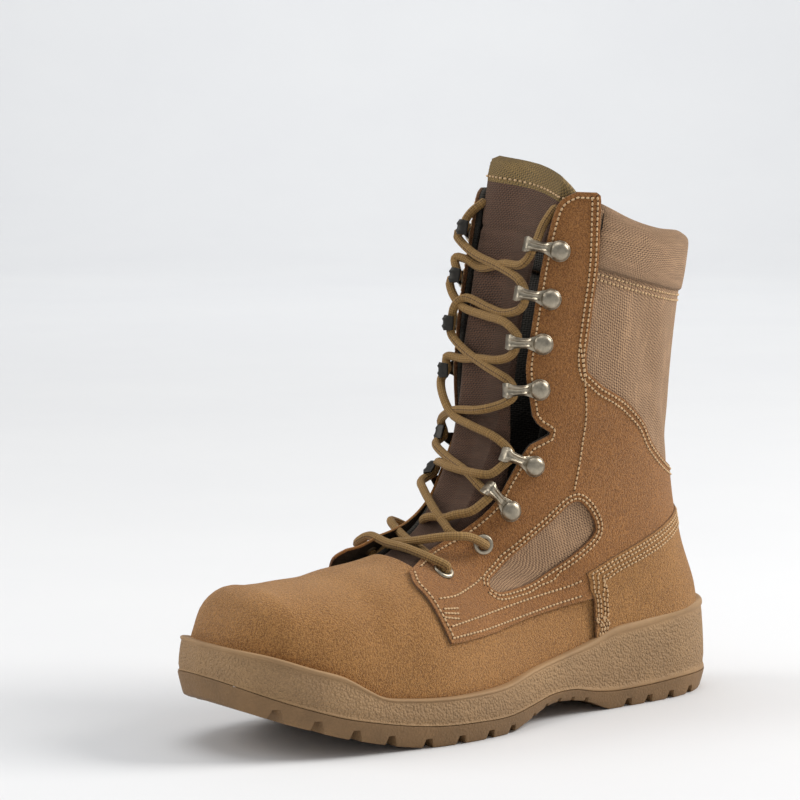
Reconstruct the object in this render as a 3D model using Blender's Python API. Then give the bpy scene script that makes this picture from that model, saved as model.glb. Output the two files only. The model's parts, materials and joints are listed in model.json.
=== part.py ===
"""Left lace-up boot, about 237 mm tall at the back of the collar and 310 mm long.

The toe points to -Y, the outer (lateral) side of the foot to +X, and the sole stands on Z = 0.
Sizes are millimetres in the tables and metres in the meshes.
The upper is worked out from LAST, sections that run from the shaft's rim down over the instep to the toe.
Every panel of the upper is cut between two sizes of that one form.
"""
import math

import bmesh
import bpy
import numpy as np
from mathutils import Matrix, Vector

MM = 0.001

# Driving sizes, mm
GAP = 0.3                # clearance between pieces that touch
WALL = 2.6               # upper with its lining
QUARTER_THICK = 1.6      # suede laid over the upper
COUNTER_THICK = 2.3
BACKSTAY_THICK = 1.2
BACKSTAY_WIDE = 18
CUFF_THICK = 1.4         # padding outside the upper
CUFF_INSIDE = 2.2        # padding inside the upper
CUFF_RISE = 3.0          # padding above the upper's top edge
CUFF_FRONT = 1.2         # between the cuff and the facing strip
INSOLE_THICK = 3.0
TONGUE_THICK = 4.5
TONGUE_CLEAR = 1.7       # between tongue and upper
TONGUE_TAPER = .98       # half turn of the tongue's back next to its front
LACE_ROUND = 4.4         # lace diameter
LACE_RISE = 1.5          # crossings of the lace above the form's ridge
LACE_RISE_LOW = 5.0      # the same between the eyelets, where it runs over the quarters
LACE_STACK = 1.1         # the strand on top and the one below, from their middle
LUG_DEPTH = 4.5
LUG_GROOVE = 4.6
CROSS = 90               # half length of every cutter that runs across the boot
CENTRE_X = 3.25          # the tables' x of the middle between the boot's two sides

HOOK_THICK = 1.1
MEDIAL_SHIFT = 6.5       # the medial hooks sit this much further up the facing than the lateral ones
RIVET_ROUND = 10.2       # hook's rivet head, diameter
RIVET_RISE = 1.9
EYELET_ROUND = 10.4
EYELET_BORE = 5.2
EYELET_BARREL = 6.6
EYELET_RISE = 0.9
EYELET_REACH = 4.6       # barrel, through quarter and upper
VENT_ROUND = 9.5
SEAT = 1.1               # fittings stand this far off a curved panel

# Mesh resolution
TURNS = 26
INNER_TURNS = 20
BENT_ROWS = (4, 5, 9, 12, 13, 14, 15)   # ankle, joint and toe rows, which get a ring half way to the next row
TONGUE_ACROSS = 11
TONGUE_ALONG = 17
OUTLINE_STEPS = 2
ROUND_STEPS = 8

# The boot's form. Each row is one section, an oval from its front point to its back point.
LAST_COLUMNS = ("front_y", "front_z", "back_y", "back_z", "lateral", "medial",
                "widest", "front_power", "back_power", "shift")
LAST = (
    ("rim",      35, 292, 145, 292, 44.5, 44.5, .52, 2.3, 2.1, 0),
    ("collar",   27, 245, 138, 245, 43.5, 43.5, .52, 2.3, 2.1, 0),
    ("calf",     17, 200, 131.5, 200, 41.2, 41.2, .52, 2.3, 2.1, 0),
    ("shin",     10, 165, 128.5, 160, 38, 38, .52, 2.2, 2.1, 0),
    ("ankle",     2, 136, 128.5, 120, 35.5, 35.5, .54, 2.1, 2.1, 0),
    ("instep",  -12, 110, 135.5,  82, 35.5, 34.5, .58, 2.1, 2.1, 0),
    ("heel",    -20, 100, 144,  52, 35.5, 33.5, .62, 2.1, 2.4, 0),
    ("seat",    -27,  95, 137,  30, 34.5, 32, .68, 2.1, 3.2, 0),
    ("waist",   -33,  91,  90,  27, 34.6, 31, .70, 2.1, 5, 0),
    ("arch",    -40,  88,  40,  20, 39.8, 34, .72, 2.1, 5, 1),
    ("joint",   -48,  85,   0,  15, 48, 39.5, .74, 2.2, 5, 1),
    ("ball",    -60,  82, -42,  13, 53.5, 46.5, .74, 2.3, 5, 1),
    ("toes",    -82,  79.5, -76, 15, 51, 48, .72, 2.4, 5, 0),
    ("box",    -106,  78, -105,  21, 47, 44.2, .68, 2.6, 5, -1),
    ("cap",    -130,  73, -127,  28, 38, 36.4, .65, 2.6, 4, -2),
    ("tip",    -145,  61, -142,  34, 25, 25, .60, 2.4, 3, -3),
    ("end",    -149.5, 50, -149,  38, 4, 4, .50, 2, 2, -3),
)
LAST_NAMES = [row[0] for row in LAST]
LAST_SIZES = np.array([row[1:] for row in LAST], float)
LAST_END = len(LAST) - 1
TOE_LEAD_START = LAST_NAMES.index("box")   # from here on the form also grows towards the toe

# Plan of the sole at its widest level: y, lateral x, medial x
SOLE_PLAN = (
    (-155, -3, -3), (-152, 18, -22), (-143, 32, -34), (-125, 44.5, -44), (-100, 52.5, -50),
    (-72, 56, -52.5), (-42, 59, -50.5), (-12, 55.8, -44.5), (24, 46, -38), (60, 40.8, -36.3),
    (95, 39.2, -37.3), (120, 36.2, -36), (140, 27.3, -27), (151, 15, -14), (155, 1, 1),
)

# Heights along the sole: y, tread, line between outsole and midsole, lip round the upper, inner floor
SOLE_COLUMNS = {"tread": 1, "parting": 2, "lip": 3, "floor": 4}
SOLE_HEIGHTS = np.array((
    (-156, 29.5, 38.5, 54, 43), (-150, 25.5, 35.5, 53, 40.5), (-140, 21, 31, 50.8, 36.5),
    (-120, 14, 23.5, 43.8, 30), (-104, 9, 18.6, 38.2, 25), (-95, 6.8, 16.6, 32.8, 22.8),
    (-86, 4.6, 14.8, 27.8, 21), (-70, 1.4, 12, 25, 19), (-58, 0, 10.6, 24, 18), (-35, 0, 9.6, 23.6, 17.5),
    (-8, 0, 9.4, 25, 18.5), (8, 4, 11.6, 28.4, 20.5), (26, 9, 14.4, 31.2, 23.5), (40, 8.4, 14.2, 33.6, 26),
    (56, 5, 11, 37, 28.5), (68, 0, 9.6, 41, 30.5), (90, 0, 9.6, 43.6, 32.5), (118, 0, 10.6, 46.8, 34),
    (148, 0, 10.2, 47.5, 34.5), (157, 2, 10.5, 48, 35),
), float)

# Steps of the sole's side: share of the height, how far outside the plan
OUTSOLE_SIDE = ((0, -3.2), (.45, -1.4), (.85, -.2), (1, -.2))
MIDSOLE_SIDE = ((0, -1.0), (.14, -1.0), (.2, -.4), (.93, -1.8), (1, -2.7))

# Edges of the panels, seen from the side: (y, z)
THROAT_LOW = ((-44.5, 81), (-32, 85.5), (-12, 94.5), (4, 107), (13, 120), (20.5, 132))
THROAT_NOTCH = ((23.5, 136.5), (34, 142), (27.5, 146.5))
THROAT_HIGH = ((25, 151), (23, 171), (24.5, 186), (28, 207), (33.5, 233), (38.5, 252.3), (42, 258.2),
               (46.9, 261.2))
STRIP_BACK = ((55.7, 260.8), (57.5, 258.8), (57.1, 247.6), (55.7, 224), (52.5, 201), (50.5, 181),
              (51.5, 172))
QUARTER_BACK = ((60.5, 164.5), (76, 156), (89, 145), (98.5, 132), (118, 119.5), (150, 113))
QUARTER_LOW = ((66, 58), (53.3, 56.8), (21.1, 53.6), (-9.2, 49.9), (-33.6, 48.5), (-45.8, 48.5))
QUARTER_FRONT = ((-46.8, 51), (-49.2, 60.1), (-50.8, 68.8), (-52.8, 75), (-49.6, 79.4))
COUNTER_TOP = ((53.1, 70.6), (76, 80.5), (128, 97.5), (165, 108))
COUNTER_FRONT = ((55.2, 62.5), (57.9, 56), (56.9, 39.1), (56.5, 30))
WINDOW = ((-5.3, 69), (-3.5, 72), (6.5, 77.5), (30, 95.5), (45, 106.8), (52.5, 104), (58, 95), (57, 90),
          (50, 84), (36, 75.5), (20, 68.5), (0, 66.2))
COLLAR_TOP = ((57, 256), (75, 247.5), (94, 242.5), (112, 240), (126, 237.5), (160, 237))
CUFF_SEAM = ((55.5, 223), (81, 216), (114, 209.5), (160, 207))
BACKSTAY_SPAN = ((110, 118), (160, 116), (160, 206), (110, 207))

# Hooks and eyelets, from the top down: rivet (y, z) and the way the arm points in the side view
HOOKS = ((38.5, 232, -11, 3), (33.5, 208.5, -11, 2.5), (29.5, 186.5, -11, 1),
         (28, 164, -11, 0), (25, 126, -10, 4.5), (12, 104.5, -7, 8))
# Side of a hook, along its arm: way from the rivet, rise, width
HOOK_ARM = ((-4.4, .6, 6), (0, .6, 8.6), (4.8, 1.1, 7), (8, 3, 5.2), (13, 4.2, 5.6),
            (16.4, 3.6, 7.8), (17.8, -1.4, 7))
EYELETS = ((-2, 88.5), (-30, 78))
VENTS = ((0, 38.5), (26, 42.5))

# Tongue: station on the form, how much lower its lateral edge is, in stations,
# share of the section that its middle lies behind the front point, half turn in degrees
TONGUE_ROWS = ((.4, .16, .1, 54), (1, .10, .07, 53), (1.5, .03, .045, 54), (2.4, 0, .036, 54),
               (3.4, 0, .036, 53), (4.2, 0, .036, 52), (5, 0, .036, 50), (6.5, 0, .034, 44),
               (8.5, 0, .03, 38), (10.2, 0, .024, 36))


# ---------------------------------------------------------------- curves and sections

def catmull(rows, station):
    """Values of a smooth curve through the rows, at station 0 to len(rows) - 1."""
    last = len(rows) - 1
    station = np.clip(np.asarray(station, float), 0, last - 1e-9)
    low = np.floor(station).astype(int)
    part = (station - low)[..., None]
    here, there = rows[low], rows[low + 1]
    before = np.where((low == 0)[..., None], 2 * here - there, rows[np.maximum(low - 1, 0)])
    after = np.where((low + 2 > last)[..., None], 2 * there - here, rows[np.minimum(low + 2, last)])
    return .5 * (2 * here + (there - before) * part
                 + (2 * before - 5 * here + 4 * there - after) * part ** 2
                 + (3 * here - before - 3 * there + after) * part ** 3)


def smooth_line(points, steps=2):
    """The points with steps - 1 more between each two of them, on a smooth curve."""
    rows = np.array(points, float)
    stations = np.linspace(0, len(rows) - 1, (len(rows) - 1) * steps + 1)
    return [tuple(point) for point in catmull(rows, stations)]


def sole_height(y, column):
    """Height of one line of the sole at y."""
    ys, zs = SOLE_HEIGHTS[:, 0], SOLE_HEIGHTS[:, SOLE_COLUMNS[column]]
    slopes = np.gradient(zs, ys)
    y = np.clip(y, ys[0], ys[-1])
    low = np.clip(np.searchsorted(ys, y) - 1, 0, len(ys) - 2)
    width = ys[low + 1] - ys[low]
    part = (y - ys[low]) / width
    height = ((2 * part ** 3 - 3 * part ** 2 + 1) * zs[low]
              + (part ** 3 - 2 * part ** 2 + part) * width * slopes[low]
              + (3 * part ** 2 - 2 * part ** 3) * zs[low + 1]
              + (part ** 3 - part ** 2) * width * slopes[low + 1])
    return np.maximum(height, 0)


def last_points(station, turn, grow=0.0, flat=0.0):
    """Points of the boot's form, mm. The turn is 0 at the front, +90 degrees lateral, 180 at the back.
    grow moves the surface outwards, and flat holds it behind that share of the section."""
    row = catmull(LAST_SIZES, station)
    front_y, front_z, back_y, back_z, lateral, medial, widest, front_power, back_power, shift = (
        row[..., column] for column in range(len(LAST_COLUMNS)))
    turn = np.asarray(turn, float)
    power = np.where(np.cos(turn) > 0, front_power, back_power)
    along = np.abs(np.cos(turn)) ** (2 / power)
    aside = np.abs(np.sin(turn)) ** (2 / power)
    share = np.where(np.cos(turn) > 0, widest * (1 - along), widest + (1 - widest) * along)
    share = np.maximum(share, flat)
    length = np.hypot(back_y - front_y, back_z - front_z)
    share = share * (1 + 2 * grow / length) - grow / length
    half = np.maximum(np.where(turn >= 0, lateral, medial) + grow, 1.5)
    x = shift - CENTRE_X + np.sign(turn) * half * aside
    lead = np.clip((np.asarray(station, float) - TOE_LEAD_START) / (LAST_END - TOE_LEAD_START), 0, 1)
    y = front_y + (back_y - front_y) * share - grow * lead
    z = front_z + (back_z - front_z) * share
    return np.stack([x, y, z], -1)


def on_side(y, z, side, grow=0.0):
    """Point and outward normal of the form where the side view shows (y, z)."""
    def at(station, turn):
        return last_points(station, side * turn, grow)

    best = None
    for station in np.linspace(0, LAST_END, LAST_END * 8 + 1):
        turns = np.linspace(.02, math.pi - .02, 160)
        points = at(np.full_like(turns, station), turns)
        miss = np.hypot(points[:, 1] - y, points[:, 2] - z)
        pick = int(np.argmin(miss))
        if best is None or miss[pick] < best[0]:
            best = (miss[pick], station, turns[pick])
    station, turn = best[1], best[2]
    step = 1e-3
    for _ in range(12):
        here = at(station, turn)
        by_station = (at(station + step, turn) - here) / step
        by_turn = (at(station, turn + step) - here) / step
        slope = np.array([[by_station[1], by_turn[1]], [by_station[2], by_turn[2]]])
        miss = np.array([y - here[1], z - here[2]])
        move = np.linalg.solve(slope, miss)
        station += float(np.clip(move[0], -.3, .3))
        turn += float(np.clip(move[1], -.2, .2))
    here = at(station, turn)
    normal = np.cross(at(station, turn + step) - here, at(station + step, turn) - here)
    normal /= np.linalg.norm(normal)
    if normal[0] * side < 0:
        normal = -normal
    return Vector(here), Vector(normal)


def plan_ring(offset):
    """Closed plan of the sole, moved outwards by offset, as two matched sides from toe to heel."""
    rows = np.array(SOLE_PLAN, float)
    count = (len(rows) - 1) * OUTLINE_STEPS
    sides = catmull(rows, np.linspace(0, len(rows) - 1, count + 1))
    lateral = np.stack([sides[:, 1], sides[:, 0]], -1)
    medial = np.stack([sides[:, 2], sides[:, 0]], -1)
    ring = np.concatenate([lateral, medial[-2:0:-1]])
    chord = np.roll(ring, -1, 0) - np.roll(ring, 1, 0)
    outward = np.stack([chord[:, 1], -chord[:, 0]], -1)
    outward /= np.linalg.norm(outward, axis=1, keepdims=True)
    outward *= np.sign(outward[len(ring) // 4, 0])
    return ring + outward * offset - (CENTRE_X, 0)


# ---------------------------------------------------------------- meshes

def finish_object(name, mesh, colour=None, rough=.8, metal=0.0, collection=None):
    """Put a bmesh in the scene as an object, with its material if it has a colour."""
    data = bpy.data.meshes.new(name)
    bmesh.ops.recalc_face_normals(mesh, faces=mesh.faces)
    mesh.to_mesh(data)
    mesh.free()
    thing = bpy.data.objects.new(name, data)
    (collection or PARTS).objects.link(thing)
    if colour:
        dress(thing, colour, rough, metal)
    return thing


def dress(thing, colour, rough=.8, metal=0.0):
    material = bpy.data.materials.new(thing.name)
    material.use_nodes = True
    shader = material.node_tree.nodes["Principled BSDF"]
    shader.inputs["Base Color"].default_value = (*colour, 1)
    shader.inputs["Roughness"].default_value = rough
    shader.inputs["Metallic"].default_value = metal
    thing.data.materials.clear()
    thing.data.materials.append(material)


def loft(rings):
    """Mesh tube through rings of equal length, its ends open. Points are in mm."""
    mesh = bmesh.new()
    loops = [[mesh.verts.new(Vector(point) * MM) for point in ring] for ring in rings]
    count = len(loops[0])
    for low, high in zip(loops, loops[1:]):
        for index in range(count):
            ahead = (index + 1) % count
            mesh.faces.new((low[index], low[ahead], high[ahead], high[index]))
    return mesh, loops


def fill_across(mesh, loop):
    """Close a ring whose two sides match, with strips from side to side."""
    half = len(loop) // 2
    mesh.faces.new((loop[0], loop[1], loop[-1]))
    for index in range(1, half - 1):
        mesh.faces.new((loop[index], loop[index + 1], loop[-index - 1], loop[-index]))
    mesh.faces.new((loop[half - 1], loop[half], loop[half + 1]))


def last_solid(name, grow, collection=None):
    """The boot's form as a closed solid, plainer inside than outside."""
    count, bent = (TURNS, BENT_ROWS) if grow >= 0 else (INNER_TURNS, ())
    turns = np.linspace(0, 2 * math.pi, count, endpoint=False)
    turns = np.where(turns > math.pi, turns - 2 * math.pi, turns)
    stations = sorted([*range(LAST_END + 1), *[row + .5 for row in bent]])
    rings = [last_points(np.full(count, station), turns, grow) for station in stations]
    mesh, loops = loft(rings)
    bmesh.ops.triangulate(mesh, faces=mesh.faces, quad_method="FIXED")   # the same diagonals at every size
    mesh.faces.new(loops[0])
    mesh.faces.new(reversed(loops[-1]))
    return finish_object(name, mesh, collection=collection)


def side_prism(name, outline, low=-CROSS, high=CROSS):
    """Cutter: an outline in the side view, run across the boot from low to high of its middle."""
    mesh = bmesh.new()
    corners = [mesh.verts.new(Vector((low - CENTRE_X, y, z)) * MM) for y, z in outline]
    face = mesh.faces.new(corners)
    grown = bmesh.ops.extrude_face_region(mesh, geom=[face])
    moved = [item for item in grown["geom"] if isinstance(item, bmesh.types.BMVert)]
    bmesh.ops.translate(mesh, verts=moved, vec=Vector((high - low, 0, 0)) * MM)
    return as_cutter(finish_object(name, mesh, collection=CUTTERS))


def as_cutter(thing):
    thing.hide_render = True
    thing.display_type = "WIRE"
    return thing


def cut(thing, cutter, operation="DIFFERENCE"):
    """Boolean with the exact solver, left on the object."""
    modifier = thing.modifiers.new(f"{operation.lower()} {cutter.name}", "BOOLEAN")
    modifier.operation = operation
    modifier.solver = "EXACT"
    modifier.object = cutter
    return thing


def stack(name, levels, low, high, colour, rough):
    """The sole's plan raised between two height lines: levels are (share of height, offset)."""
    rings = []
    for share, offset in levels:
        plan = plan_ring(offset)
        bottom, top = low(plan[:, 1]), high(plan[:, 1])
        rings.append(np.column_stack([plan, bottom + (top - bottom) * share]))
    mesh, loops = loft(rings)
    fill_across(mesh, loops[0])
    fill_across(mesh, loops[-1])
    return finish_object(name, mesh, colour, rough)


# ---------------------------------------------------------------- scene

for old in list(bpy.data.objects):
    bpy.data.objects.remove(old, do_unlink=True)
PARTS = bpy.data.collections.new("lace_up_boot")
CUTTERS = bpy.data.collections.new("cutters")
for group in (PARTS, CUTTERS):
    bpy.context.scene.collection.children.link(group)

SUEDE = (.35, .18, .065)
NYLON = (.26, .155, .10)
OLIVE = (.12, .085, .04)
RUBBER = (.20, .135, .07)
MIDSOLE = (.30, .22, .13)
METAL = (.42, .40, .33)
LACE = (.34, .21, .07)
LINING = (.05, .042, .03)

# ---------------------------------------------------------------- shared cutters

END = 170                # past the toe and the heel, mm
BELOW = -60              # under the sole
FAR = 330                # over the collar
FLOOR_YS = np.linspace(-END, END, 35)


def below_floor(name, raise_by):
    """Everything under the sole's inner floor."""
    line = [(y, float(sole_height(y, "floor")) + raise_by) for y in FLOOR_YS]
    return side_prism(name, [(-END, BELOW), *line, (END, BELOW)])


outer = as_cutter(last_solid("form_outer", GAP, collection=CUTTERS))
inner = as_cutter(last_solid("form_inner", -WALL, collection=CUTTERS))
under_floor = below_floor("under_floor", GAP)
lip_line = [(y, float(sole_height(y, "lip")) + GAP) for y in FLOOR_YS]
below_lip = side_prism("below_lip", [(-END, BELOW), *lip_line, (END, BELOW)])

throat_edge = (smooth_line(THROAT_LOW) + list(THROAT_NOTCH) + smooth_line(THROAT_HIGH))
throat = side_prism("throat", [(-45.5, 70), *throat_edge, (46.5, FAR), (-100, FAR), (-100, 120), (-46, 100)])
collar_line = smooth_line(COLLAR_TOP)


def above_collar(name, clear):
    """Everything over the collar's top line, less clear."""
    line = [(y, z - clear) for y, z in collar_line]
    return side_prism(name, [(30, line[0][1]), *line, (COLLAR_TOP[-1][0], FAR), (30, FAR)])


# ---------------------------------------------------------------- upper


def make_upper():
    upper = last_solid("upper", 0.0)
    dress(upper, SUEDE)
    for cutter in (inner, under_floor, throat, above_collar("above_upper", CUFF_RISE), holes):
        cut(upper, cutter)


def overlay_form(name, grow, colour, rough=.85):
    """A panel before its outline is cut: the form's skin from GAP outwards."""
    skin = last_solid(name, GAP + grow)
    dress(skin, colour, rough)
    return cut(skin, outer)


def quarter_outline():
    return ([*throat_edge, *smooth_line(STRIP_BACK)[:-1], *smooth_line(QUARTER_BACK)]
            + [(165, 90)] + smooth_line(QUARTER_LOW) + smooth_line(QUARTER_FRONT))


def counter_outline(clear=0.0):
    top = [(y - clear, z + clear) for y, z in COUNTER_TOP]
    front = [(y - clear, z) for y, z in COUNTER_FRONT]
    return [*smooth_line(top), (165, 10), (front[-1][0], 10), *reversed(front)]


def make_quarter(name, side):
    quarter = overlay_form(name, QUARTER_THICK, SUEDE)
    low, high = (GAP / 2, CROSS) if side > 0 else (-CROSS, -GAP / 2)
    cut(quarter, side_prism(f"{name}_outline", quarter_outline(), low, high), "INTERSECT")
    for cutter in (holes, window_cutter, counter_cutter):
        cut(quarter, cutter)


def make_counter():
    counter = overlay_form("counter", COUNTER_THICK, SUEDE)
    cut(counter, side_prism("counter_outline", counter_outline()), "INTERSECT")
    cut(counter, below_lip)


def make_collar():
    """Padded cuff, folded over the upper's top edge."""
    collar = last_solid("collar", GAP + CUFF_THICK)
    dress(collar, NYLON, .9)
    cut(collar, as_cutter(last_solid("cuff_inside", -WALL - GAP - CUFF_INSIDE, collection=CUTTERS)))
    front = max(y for y, _ in STRIP_BACK) + CUFF_FRONT
    top = [(front, COLLAR_TOP[0][1] - 1), *[point for point in collar_line if point[0] > front]]
    band = [*top, *reversed(smooth_line(CUFF_SEAM))]
    band = [(max(y, front), z) for y, z in band]
    cut(collar, side_prism("cuff_band", band), "INTERSECT")
    skin = last_solid("cuff_core", GAP, collection=CUTTERS)
    cut(skin, as_cutter(last_solid("cuff_core_inside", -WALL - GAP, collection=CUTTERS)))
    cut(skin, above_collar("above_core", CUFF_RISE - GAP))
    cut(collar, as_cutter(skin))


def make_backstay():
    backstay = overlay_form("backstay", BACKSTAY_THICK, OLIVE, .9)
    half = BACKSTAY_WIDE / 2
    cut(backstay, side_prism("backstay_strip", BACKSTAY_SPAN, -half, half), "INTERSECT")


window_cutter = side_prism("window", smooth_line(WINDOW + WINDOW[:1])[:-1])
counter_cutter = side_prism("counter_clear", counter_outline(GAP))


def make_tongue():
    """A padded sheet behind the throat, flat in the middle and following the upper at its sides."""
    rows = np.array(TONGUE_ROWS, float)
    across = np.linspace(-1, 1, TONGUE_ACROSS)
    front, back = [], []
    for share in np.linspace(0, len(rows) - 1, TONGUE_ALONG):
        station, tilt, flat, half_turn = catmull(rows, share)
        turns = across * math.radians(half_turn)
        stations = station + tilt * across
        clear = -WALL - TONGUE_CLEAR
        front.append(last_points(stations, turns, clear, flat))
        back.append(last_points(stations, turns * TONGUE_TAPER, clear - TONGUE_THICK, flat))
    rings = [np.concatenate([face, behind[::-1]]) for face, behind in zip(front, back)]
    mesh, loops = loft(rings)
    for loop in (loops[0], loops[-1]):
        half = len(loop) // 2
        for index in range(half - 1):
            mesh.faces.new((loop[index], loop[index + 1], loop[-index - 2], loop[-index - 1]))
    finish_object("tongue", mesh, NYLON, .9)


def make_insole():
    insole = last_solid("insole", -WALL - GAP)
    dress(insole, LINING, .9)
    low = [(y, float(sole_height(y, "floor")) + GAP) for y in FLOOR_YS]
    high = [(y, z + INSOLE_THICK) for y, z in reversed(low)]
    cut(insole, side_prism("insole_layer", low + high), "INTERSECT")


# ---------------------------------------------------------------- sole


def make_midsole():
    midsole = stack("midsole", MIDSOLE_SIDE, lambda y: sole_height(y, "parting") + GAP,
                    lambda y: sole_height(y, "lip"), MIDSOLE, .7)
    cavity = last_solid("midsole_cavity", GAP, collection=CUTTERS)
    cut(cavity, below_floor("midsole_floor", 0.0))
    cut(midsole, as_cutter(cavity))


def groove_block(mesh, start, end, width, top):
    """A straight groove in the tread from start to end, plan points in mm."""
    start, end = Vector((*start, 0)), Vector((*end, 0))
    along = (end - start).normalized()
    middle = (start + end) / 2
    turn = Matrix.Rotation(math.atan2(along.y, along.x), 4, "Z")
    size = Matrix.Diagonal(((end - start).length * MM, width * MM, GROOVE_TALL * MM, 1))
    shift = Matrix.Translation(Vector((middle.x - CENTRE_X, middle.y, top - GROOVE_TALL / 2)) * MM)
    bmesh.ops.create_cube(mesh, size=1, matrix=shift @ turn @ size)


# Cross grooves of the tread: y at the edge, how much further back they end near the middle
GROOVES = ((-139, 5), (-121.5, 6), (-103, 7), (-84, 7), (-63, 6), (-43.5, 4), (-24, 2), (-7.5, 0),
           (82.5, -4), (97, -4), (112.5, -3), (128.5, -2))
GROOVE_INNER = 14.6      # where the cross grooves end, from the middle
GROOVE_OUTER = 76        # past the sole's side
GROOVE_TALL = 30         # height of a groove's cutter
MIDDLE_SHARE = .7        # width and depth of the middle grooves next to the others
MIDDLE_BACK = 8          # the middle grooves lie this far behind the others
LONG_GROOVE = (11, 14.2)
LONG_SPANS = ((-131, -1), (77, 137))
ARCH_NOTCHES = (10.5, 20.5, 30.5, 40.5, 50.5)
NOTCH_DEPTH = 2.2
NOTCH_WIDTH = 2.4
NOTCH_INNER = 26         # where the notches under the arch end, from the middle


def tread_cutter(name, grooves):
    """Blocks that don't touch each other: start, end, width, height of the groove's roof."""
    mesh = bmesh.new()
    for start, end, width, top in grooves:
        groove_block(mesh, start, end, width, top)
    return as_cutter(finish_object(name, mesh, collection=CUTTERS))


def tread_at(y):
    return float(sole_height(y, "tread"))


def make_outsole():
    outsole = stack("outsole", OUTSOLE_SIDE, lambda y: sole_height(y, "tread"),
                    lambda y: sole_height(y, "parting"), RUBBER, .75)
    for side, side_name in ((1, "lateral"), (-1, "medial")):
        cut(outsole, tread_cutter(f"grooves_{side_name}", [
            ((side * GROOVE_OUTER, y), (side * GROOVE_INNER, y + back), LUG_GROOVE, tread_at(y) + LUG_DEPTH)
            for y, back in GROOVES]))
        cut(outsole, tread_cutter(f"arch_notches_{side_name}", [
            ((side * GROOVE_OUTER, y), (side * NOTCH_INNER, y), NOTCH_WIDTH, tread_at(y) + NOTCH_DEPTH)
            for y in ARCH_NOTCHES]))
        for number, (start, end) in enumerate(LONG_SPANS, 1):
            roof = [(y, tread_at(y) + LUG_DEPTH) for y in np.linspace(start, end, 9)]
            low, high = sorted((side * LONG_GROOVE[0], side * LONG_GROOVE[1]))
            cut(outsole, side_prism(f"long_groove_{side_name}_{number}",
                                    [(start, BELOW), *roof, (end, BELOW)], low, high))
    half = LONG_GROOVE[0] - 1.5
    middle = [y + back + MIDDLE_BACK for y, back in GROOVES[1::2]]
    cut(outsole, tread_cutter("grooves_middle", [
        ((-half, y), (half, y), LUG_GROOVE * MIDDLE_SHARE, tread_at(y) + LUG_DEPTH * MIDDLE_SHARE)
        for y in middle]))


# ---------------------------------------------------------------- fittings


def fitting_frame(y, z, side, grow, arm=(-1, 0)):
    """Placing matrix on the form at (y, z): local +Z outwards, +X along the arm's direction."""
    point, normal = on_side(y, z, side, grow)
    along = Vector((-(arm[0] * normal.y + arm[1] * normal.z) / normal.x, *arm)).normalized()
    across = normal.cross(along)
    frame = Matrix((along, across, normal)).transposed().to_4x4()
    frame.translation = (point + normal * SEAT) * MM
    return frame


def hook_mesh():
    """Open lace hook: a bent arm that grows out of a round rivet head."""
    rings = []
    path = [Vector((way, rise)) for way, rise, _ in HOOK_ARM]
    for index, (way, rise, width) in enumerate(HOOK_ARM):
        ahead = path[min(index + 1, len(path) - 1)] - path[max(index - 1, 0)]
        up = Vector((-ahead.y, ahead.x)).normalized() * HOOK_THICK / 2
        rings.append([(way + sign * up.x, half, rise + sign * up.y)
                      for sign, half in ((1, width / 2), (1, -width / 2),
                                         (-1, -width / 2), (-1, width / 2))])
    mesh, loops = loft(rings)
    mesh.faces.new(loops[0])
    mesh.faces.new(reversed(loops[-1]))
    arm = finish_object("hook_arm", mesh, collection=CUTTERS)
    head = bmesh.new()
    bmesh.ops.create_cone(head, cap_ends=True, segments=ROUND_STEPS, radius1=RIVET_ROUND / 2 * MM,
                          radius2=RIVET_ROUND / 3.4 * MM, depth=RIVET_RISE * MM,
                          matrix=Matrix.Translation((0, 0, (RIVET_RISE / 2 + .05) * MM)))
    cut(arm, as_cutter(finish_object("hook_head", head, collection=CUTTERS)), "UNION")
    bpy.context.view_layer.update()
    made = bpy.data.meshes.new_from_object(arm.evaluated_get(bpy.context.evaluated_depsgraph_get()))
    bpy.data.objects.remove(arm)
    return made


def turned_mesh(name, profile):
    """Ring turned about local Z from a closed profile of (radius, height)."""
    mesh = bmesh.new()
    corners = [mesh.verts.new(Vector((radius, 0, height)) * MM) for radius, height in profile]
    edges = [mesh.edges.new((corner, corners[(index + 1) % len(corners)]))
             for index, corner in enumerate(corners)]
    bmesh.ops.spin(mesh, geom=corners + edges, axis=(0, 0, 1), cent=(0, 0, 0), steps=ROUND_STEPS,
                   angle=2 * math.pi, use_merge=True)
    bmesh.ops.remove_doubles(mesh, verts=mesh.verts, dist=1e-6)
    bmesh.ops.recalc_face_normals(mesh, faces=mesh.faces)
    data = bpy.data.meshes.new(name)
    mesh.to_mesh(data)
    mesh.free()
    return data


def place(name, data, frame, colour, rough, metal):
    thing = bpy.data.objects.new(name, data)
    PARTS.objects.link(thing)
    thing.matrix_world = frame
    if not data.materials:
        dress(thing, colour, rough, metal)
    return thing


def hook_rows(side):
    """Hooks of one side, from the top down: rivet (y, z) and the way the arm points."""
    shift = MEDIAL_SHIFT if side < 0 else 0
    for y, z, along, up in HOOKS:
        length = math.hypot(along, up)
        yield y + up / length * shift, z - along / length * shift, along, up


def make_hooks():
    data = hook_mesh()
    for side, side_name in ((1, "lateral"), (-1, "medial")):
        for number, (y, z, *arm) in enumerate(hook_rows(side), 1):
            frame = fitting_frame(y, z, side, QUARTER_THICK + GAP, arm)
            place(f"hook_{side_name}_{number}", data, frame, METAL, .38, .9)


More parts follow.
